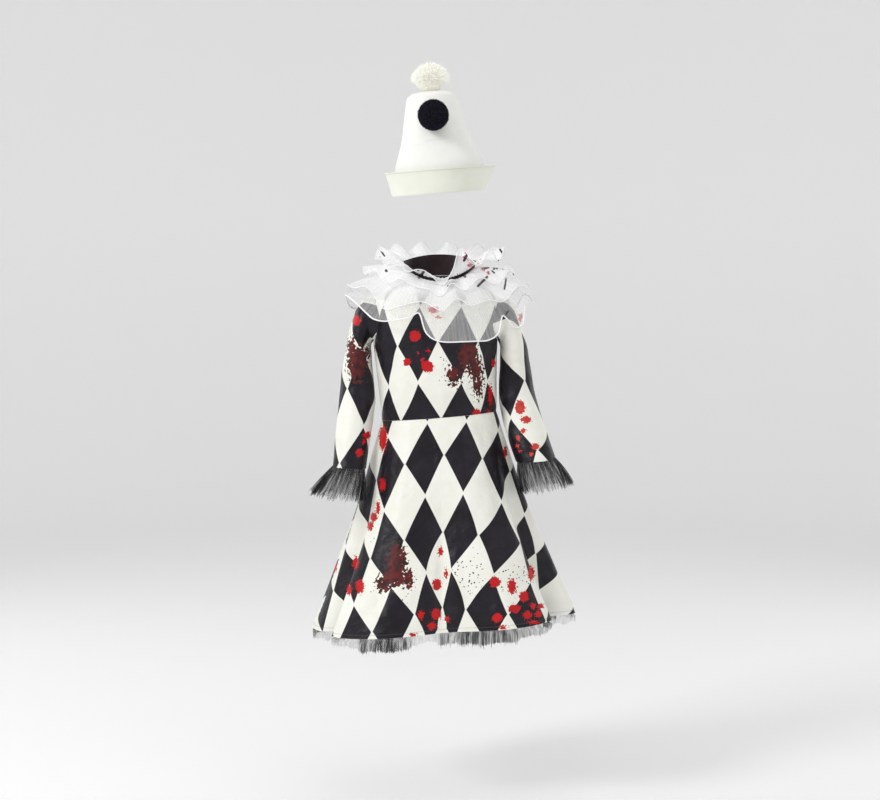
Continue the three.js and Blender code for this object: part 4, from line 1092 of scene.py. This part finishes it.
ribbon, organza, white_cord = ribbon_material(), organza_material(), cord_material()
angles, places = np.meshgrid(3 * np.arange(120.0), np.linspace(0, 1, 16))
band = band_points(angles, places)
band_out = facing(band, closed=True)
band = band + (0.5 * rumple(band, 30, 61) * np.sin(np.pi * places))[..., None] * band_out
band_cut = arc_cut(closed_ring(band), 0)
band_mesh = cloth_mesh("ruff_band_ribbon", band, BAND_WALL, closed=True, cut=band_cut)
band_piece = place_piece("ruff_band_ribbon", band_mesh, (ribbon,), "dark_ribbon", "ruff_band")


def depth_in_streaks(points):
    """How far each point lies inside the nearest streak, in millimetres, on the front half."""
    across, up = seen(points)
    best = np.full(across.shape, UNMARKED)
    for *line, width in zip(*(RUFF_STREAKS[n] for n in STREAK_COLUMNS.split())):
        off = from_line(np.stack([across, up], -1), *line)[1]
        best = np.maximum(best, width + STREAK_SPREAD - off)
    return np.where(points[..., 1] < 0, best, UNMARKED)


def cord_round(name, line, radius, sides=6):
    """A mesh of a round cord along a closed line."""
    ahead = unit(np.roll(line, -1, 0) - np.roll(line, 1, 0))
    out = unit(np.cross(ahead, [0, 0, 1.0]))
    up = np.cross(out, ahead)
    turn = 2 * np.pi * np.arange(sides) / sides
    ring = out[:, None] * np.cos(turn)[:, None] + up[:, None] * np.sin(turn)[:, None]
    cord = line[:, None] + ring * radius
    cord = np.concatenate([cord, cord[:1]]).transpose(1, 0, 2)
    index = np.arange(sides * (len(line) + 1)).reshape(sides, -1)
    wrapped = np.roll(index, -1, 0)
    faces = np.stack([index[:, :-1], index[:, 1:], wrapped[:, 1:], wrapped[:, :-1]], -1).reshape(-1, 4)
    return new_mesh(name, cord, faces.tolist())


def frill(name, edge, sewn_at, fall, arch, columns, seed, sheer):
    """One gathered frill: it leaves the band at sewn_at and falls in a curve to its corded edge."""
    edge, lines = all_round(edge), 40
    angles, places = np.meshgrid(360 * np.arange(columns) / columns, np.linspace(0, 1, lines))
    start = band_points(angles, np.full(angles.shape, sewn_at))
    start = start + 0.5 * facing(band_points(angles, sewn_at + 0.01 * places), closed=True)
    reach, height = smooth(edge, "reach", angles, by="angle"), smooth(edge, "height", angles, by="angle")
    along, ahead = sine(angles), cosine(angles)
    x = start[..., 0] + (reach * along - start[..., 0]) * places
    y = start[..., 1] + (-reach * ahead - start[..., 1]) * places
    z = start[..., 2] + (height - start[..., 2]) * places**fall + arch * np.sin(np.pi * places)
    points = np.stack([x, y, z], -1)
    normal = -facing(points, closed=True)
    # Small gathers at the stitching spread out into a soft flutter near the cord
    gather = np.sin(np.radians(angles * FRILL_GATHERS) + 4 * rumple(points, 45, seed))
    gather = gather * (0.8 + 0.5 * rumple(points, 38, seed + 2))
    flutter = rumple(points, 34, seed + 1)
    points = points + normal * (0.8 * gather * (1 - places) ** 2 + 1.1 * flutter * places)[..., None]
    width = np.linalg.norm(points[-1] - np.roll(points[-1], 1, 0), axis=-1).sum()
    length = np.linalg.norm(np.diff(points, axis=0), axis=-1).sum(0).mean()
    cut = strip_cut(points, width, length)
    facing_front = points * [0, 1, 0]
    marks = {
        "fall": places * sheer,
        "streaks": depth_in_streaks(points),
        "drops": depth_in_spots(points, facing_front, RUFF_DROPS),
        "flecks": depth_in_spots(points, facing_front, RUFF_FLECKS) - 6,
    }
    mesh = cloth_mesh(name + "_organza", points, 0, closed=True, cut=cut, marks=marks)
    piece = place_piece(name + "_organza", mesh, (organza,), "white_organza", name)
    cord_mesh = cord_round(name + "_rolled_edge", points[-1], CORD_RADIUS[name])
    cord = place_piece(name + "_rolled_edge", cord_mesh, (white_cord,), "white_organza")


frill("ruff_top", RUFF_TOP, 0.88, 1.1, 4, 620, 71, 0.45)
frill("ruff_upper", RUFF_UPPER, 0.62, 1.2, 5, 640, 73, 0.5)
frill("ruff_middle", RUFF_MIDDLE, 0.36, 1.35, 5, 680, 75, 0.6)
frill("ruff_bottom", RUFF_BOTTOM, 0.1, 1.5, 6, 720, 77, 1)

# Hat
# A tall cone of stiff ivory felt with a flat crown and a turned-up brim. The cone is sewn down its back.
# The brim is a flared band whose edge is turned over and stitched. Wear has left faint dents on the front.
HAT_CONE = table(
    "place height middle radius",
    (0, 179, -2, 90.8), (1, 207, -1.5, 89.5), (2, 232, -1, 88), (3, 283, -8, 70), (4, 333, -14, 57),
    (5, 367, -18, 48), (6, 376, -19, 38),
)
HAT_BRIM = table(
    "place height middle radius",
    (0, 178, -2, 93), (1, 194, -1.5, 98), (2, 211, 0, 104), (3, 226, 1, 110),
)
HAT_DEPTH_SHARE, HAT_LEAN, HAT_PITCH, HAT_CROWN_RISE, FELT_WALL = 1.04, 0.075, 0.055, 3, 1.8
HAT_COLUMN_WIDTH = 2.6
HAT_CREASES = table(
    CREASE_COLUMNS,
    (-72, 258, -26, 272, 2.6, 2.4), (-30, 272, 16, 276, 2.4, 2.4), (-76, 246, -20, 254, 4.0, -1.2),
    (-64, 386, -46, 384, 3.0, 1.0), (-66, 370, -48, 366, 3.0, -1.0), (-58, 330, -50, 300, 5.0, -1.2),
    (30, 300, 56, 262, 6.0, -1.2), (-40, 232, 30, 238, 7.0, 0.9),
)


def felt_material(name, pale, deep):
    """Pressed felt: short matted fibres, faintly cloudy, with a soft nap."""
    material, tree, surface = new_material(name, roughness=0.92, sheen_weight=0.35, sheen_roughness=0.6)
    place = shader(tree, "TexCoord").outputs["Object"]
    cloud = ramp(tree, noise(tree, place, 22, 4), 0.3, 0.7)
    fibres = noise(tree, place, 1100, 5)
    half_cloud = calc(tree, "MULTIPLY", cloud, 0.5)
    mixed = calc(tree, "MULTIPLY_ADD", ramp(tree, fibres, 0.35, 0.65), 0.5, half_cloud)
    nap = bump(tree, fibres, 0.35, 0.0008)
    feed(tree, surface, base_color=blend_colours(tree, mixed, deep, pale), normal=nap)
    return material


cone_felt = felt_material("ivory_white_felt", (0.93, 0.93, 0.90, 1), (0.86, 0.86, 0.81, 1))
brim_felt = felt_material("ivory_felt_brim", (0.85, 0.87, 0.77, 1), (0.78, 0.80, 0.69, 1))


def hat_points(rows, angle, place):
    """Point on the hat, which leans a little to one side and forward."""
    value = values_at(rows, place)
    x = value["radius"] * sine(angle)
    y = -value["radius"] * HAT_DEPTH_SHARE * cosine(angle)
    return np.stack([value["middle"] + x, y, value["height"] + HAT_LEAN * x + HAT_PITCH * y], -1)


def felt_piece(name, points, material):
    """A felt wall all round, with its flat cut."""
    cut = arc_cut(closed_ring(points), points.shape[1] // 2)
    mesh = cloth_mesh(name + "_felt", points, FELT_WALL, closed=True, cut=cut)
    piece = place_piece(name + "_felt", mesh, (material, material), "white_felt", name)


columns = 168
turn = 180 + 360 * np.arange(columns) / columns
angles, places = np.meshgrid(turn, np.concatenate([np.linspace(0, 5, 90)[:-1], np.linspace(5, 6, 14)]))
cone = hat_points(HAT_CONE, angles, places)
crown_top = np.array([HAT_CONE["middle"][-1], 0, HAT_CONE["height"][-1] + HAT_CROWN_RISE])
closing = np.linspace(0, 1, 14)[1:-1, None, None]
crown = cone[-1:] + (crown_top - cone[-1:]) * closing
crown[..., 2] += HAT_CROWN_RISE * 0.5 * np.sin(np.pi * closing[..., 0])
# The crown closes to a ring so small that its hole can't be seen
tip = crown_top + 0.3 * (cone[-1:] - crown_top) / HAT_CONE["radius"][-1]
cone = np.concatenate([cone, crown, tip])
cone_out = facing(cone, closed=True)
swell = creases(cone, cone_out, HAT_CREASES) + 0.7 * rumple(cone, 70, 81)
# How far each column is from the seam down the back
from_back = np.minimum(np.arange(columns), columns - np.arange(columns)) * HAT_COLUMN_WIDTH
swell = swell + seam_dip(np.broadcast_to(from_back, swell.shape), cone[..., 2])
felt_piece("hat_cone", cone + swell[..., None] * cone_out, cone_felt)

BRIM_LINES, BRIM_STITCHES_AT, BRIM_TURNED_AT = 44, 2.74, 2.92
angles, places = np.meshgrid(turn, np.linspace(0, 3, BRIM_LINES))
brim = hat_points(HAT_BRIM, angles, places)
brim_out = facing(brim, closed=True)
swell = 0.6 * rumple(brim, 90, 83)
for middle, width, height in ((BRIM_TURNED_AT, 0.09, 0.9), (BRIM_STITCHES_AT, 0.035, -0.7), (0, 0.1, -0.6)):
    swell = swell + height * np.exp(-(((places - middle) / width) ** 2))
swell = swell + seam_dip(np.broadcast_to(from_back * 1.5, swell.shape), brim[..., 2])
brim = brim + swell[..., None] * brim_out
felt_piece("hat_brim", brim, brim_felt)
stitched = int(BRIM_LINES * BRIM_STITCHES_AT / HAT_BRIM["place"][-1])
brim_row = stitch_row(closed_ring(brim)[stitched], closed_ring(brim_out)[stitched])
stitches("hat_brim_stitching", [brim_row], (0.72, 0.72, 0.64, 1), "white_felt")

# Pompoms
# Two balls of cut yarn sewn to the hat: a clipped black one on the front of the cone and a loose cream one
# on the crown. Each is a round core of packed yarn with cut strands standing out of it on all sides.
BLACK_POMPOM_PLACE, POMPOM_SEAT, POMPOM_CORE, STRAND_BEND = 3.74, 26.3, 27.0, 2.2
GOLDEN_TURN, THIRDS_OF_A_TURN = math.pi * (3 - math.sqrt(5)), (0, 2.094, 4.189)


def yarn_material(name, deep, pale, sheen, glow):
    """Cut wool yarn, with painted shade that darkens it towards the core between its strands, and a painted
    glow that stands in for light coming through the pale yarn.
    """
    material, tree, surface = new_material(
        name, roughness=0.95, specular_ior_level=0.2, sheen_weight=sheen, sheen_roughness=0.5,
        emission_strength=glow,
    )
    outwards, = attributes(tree, "outwards")
    place = shader(tree, "TexCoord").outputs["Object"]
    # Painted shade: the colour runs from the deep colour near the core to the pale one towards the strands'
    # tips
    painted_shade_outwards = calc(tree, "MULTIPLY_ADD", outwards, 0.8, -0.15)
    varied = calc(tree, "MULTIPLY_ADD", noise(tree, place, 420, 2), 0.5, painted_shade_outwards)
    colour = blend_colours(tree, ramp(tree, varied, 0.0, 1.0), deep, pale)
    # The emission, a painted glow, takes the same colour, painted shade and all
    feed(tree, surface, base_color=colour, emission_color=colour)
    return material


def pompom(name, seat, away, material, slot, strands, reach, spread, width, flatten, seed):
    """A pompom of three-sided strands round a ball. Each strand has corners at its root, middle and tip."""
    chance = np.random.default_rng(seed)
    centre = seat + away * POMPOM_SEAT
    k = np.arange(strands) + 0.5
    level, turn = 1 - 2 * k / strands, k * GOLDEN_TURN
    ring = np.sqrt(1 - level**2)
    out = np.stack([ring * np.cos(turn), ring * np.sin(turn), level], -1)
    out = unit(out + chance.normal(scale=0.16, size=out.shape))
    outward = out @ away
    # The ball is flattened onto its seat: low strands reach further out, and those on top less far
    length = reach + spread * chance.normal(size=strands) + flatten * np.clip(0.6 - 1.3 * outward, 0, 1)
    length = length - flatten * np.clip(outward, 0, 1) ** 2
    length = np.where(outward < -0.2, np.minimum(length, 28 + 5 * (1 + outward)), length)
    side = unit(np.cross(out, chance.normal(size=out.shape)))
    other = np.cross(out, side)
    bend = chance.normal(scale=STRAND_BEND, size=(strands, 1)) * side
    bend = bend + chance.normal(scale=STRAND_BEND, size=(strands, 1)) * other
    root = centre + out * (POMPOM_CORE - 5)
    middle = centre + out * ((POMPOM_CORE + length) / 2)[:, None] + 0.35 * bend
    tip = centre + out * length[:, None] + bend
    corners, faces = [], []
    for level_points, size in ((root, width), (middle, width), (tip, width * 0.55)):
        for turn in THIRDS_OF_A_TURN:
            corners.append(level_points + size / 2 * (side * math.cos(turn) + other * math.sin(turn)))
    corners = np.stack(corners, 1)
    count = corners.shape[1]
    base = count * np.arange(strands)[:, None]
    for low in (0, 3):
        for a in range(3):
            b = (a + 1) % 3
            faces.append(base + [[low + a, low + b, low + 3 + b, low + 3 + a]])
    quads = np.concatenate(faces).tolist()
    caps = (base + [[6, 7, 8]]).tolist()
    ball, rings = 24, 16
    tilt, heading = np.pi * np.arange(1, rings) / rings, 2 * np.pi * np.arange(ball) / ball
    tilt, heading = np.meshgrid(tilt, heading, indexing="ij")
    shell = [np.sin(tilt) * np.cos(heading), np.sin(tilt) * np.sin(heading), np.cos(tilt)]
    shell = np.stack(shell, -1).reshape(-1, 3)
    shell = np.concatenate([shell, [[0, 0, 1.0], [0, 0, -1.0]]]) * (POMPOM_CORE - 1.5) + centre
    first = count * strands
    index = first + np.arange((rings - 1) * ball).reshape(rings - 1, ball)
    step = np.roll(index, -1, 1)
    quads += np.stack([index[:-1], index[1:], step[1:], step[:-1]], -1).reshape(-1, 4).tolist()
    poles = first + (rings - 1) * ball
    caps += np.stack([np.full(ball, poles), index[0], step[0]], -1).tolist()
    caps += np.stack([np.full(ball, poles + 1), step[-1], index[-1]], -1).tolist()
    everything = np.concatenate([corners.reshape(-1, 3), shell])
    mesh = new_mesh(name + "_yarn", everything, quads + caps, rounded=False)
    off = np.linalg.norm(everything - centre, axis=-1)
    # How far out from the core each corner lies; it sets the yarn's painted shade, darkest at the core
    outwards = np.clip((off - POMPOM_CORE + 4) / (reach - POMPOM_CORE + 4), 0, 1)
    set_mark(mesh, "outwards", outwards)
    place_piece(name + "_yarn", mesh, (material,), slot, name)


# The last two values of each yarn are its sheen and the strength of its painted glow
black_yarn = yarn_material("black_yarn", (0.003, 0.003, 0.006, 1), (0.010, 0.009, 0.020, 1), 0.08, 0)
cream_yarn = yarn_material("cream_yarn", (0.93, 0.92, 0.84, 1), (0.985, 0.98, 0.93, 1), 0.5, 0.10)
near = np.array([[BLACK_POMPOM_PLACE - 0.01], [BLACK_POMPOM_PLACE], [BLACK_POMPOM_PLACE + 0.01]])
patch = hat_points(HAT_CONE, np.broadcast_to([-1.0, 0.0, 1.0], (3, 3)), np.broadcast_to(near, (3, 3)))
front, up = facing(patch)[1, 1], np.array([0, 0, 1.0])
pompom("pompom_black", patch[1, 1], front, black_yarn, "black_yarn", 3900, 30.0, 0.6, 1.3, 0, 91)
pompom("pompom_cream", crown_top, up, cream_yarn, "cream_yarn", 3700, 33.5, 2.4, 1.2, 6, 92)

# Floor, light and eye
# A plain pale floor that turns up into a plain wall all round, soft studio light, and the eye in front that
# sees the costume as it is worn.
FLOOR, FLAT_REACH, CURVE_RADIUS, WALL_HEIGHT = -1030, 4400, 1400, 5400
curve = np.linspace(0, 90, 24)
reach = np.concatenate([[1], FLAT_REACH + CURVE_RADIUS * sine(curve), [FLAT_REACH + CURVE_RADIUS]])
rise = np.concatenate([[0], CURVE_RADIUS - CURVE_RADIUS * cosine(curve), [WALL_HEIGHT]])
turns, reaches = np.meshgrid(np.radians(np.arange(0, 360, 3.0)), reach)
rises = FLOOR + np.broadcast_to(rise[:, None], turns.shape)
studio = np.stack([reaches * np.sin(turns), -reaches * np.cos(turns), rises], -1)
studio_mesh = cloth_mesh("studio_floor", studio, 0, closed=True)
studio_floor = new_object("studio_floor", studio_mesh)
paper = new_material(
    "pale_paper", base_color=(0.94, 0.94, 0.94, 1), roughness=0.95, emission_color=(1, 1, 1, 1),
    emission_strength=0.06,
)[0]
studio_mesh.materials.append(paper)

world = bpy.data.worlds.new("studio")
world.use_nodes = True
world.node_tree.nodes["Background"].inputs["Color"].default_value = (1, 1, 1, 1)
world.node_tree.nodes["Background"].inputs["Strength"].default_value = 0.46
bpy.context.scene.world = world
for name, place, size, power in (
    ("key_softbox", (-2.7, -2.1, 1.9), 1.2, 66), ("fill_softbox", (2.4, -2.4, 0.4), 2.0, 9),
    ("top_softbox", (0.2, -0.6, 2.4), 2.0, 10), ("back_softbox_left", (-2.2, 1.6, 0.8), 1.4, 9),
    ("back_softbox_right", (2.2, 1.6, 0.8), 1.4, 9),
):
    lamp = bpy.data.lights.new(name, "AREA")
    lamp.size, lamp.energy = size, power
    holder = new_object(name, lamp)
    holder.location = place
    aim = Vector((0, 0, -0.15)) - Vector(place)
    holder.rotation_euler = aim.to_track_quat("-Z", "Y").to_euler()

SENSOR_WIDTH, FOCAL_PIXELS, PICTURE_PIXELS = 36, 1800, 880
lens = bpy.data.cameras.new("eye")
lens.sensor_width, lens.lens = SENSOR_WIDTH, SENSOR_WIDTH * FOCAL_PIXELS / PICTURE_PIXELS
eye = new_object("eye", lens)
eye.location = EYE * MM
eye.rotation_euler = (math.pi / 2 - EYE_TILT, 0, 0)
bpy.context.scene.camera = eye
bpy.context.scene.view_settings.view_transform = "Standard"
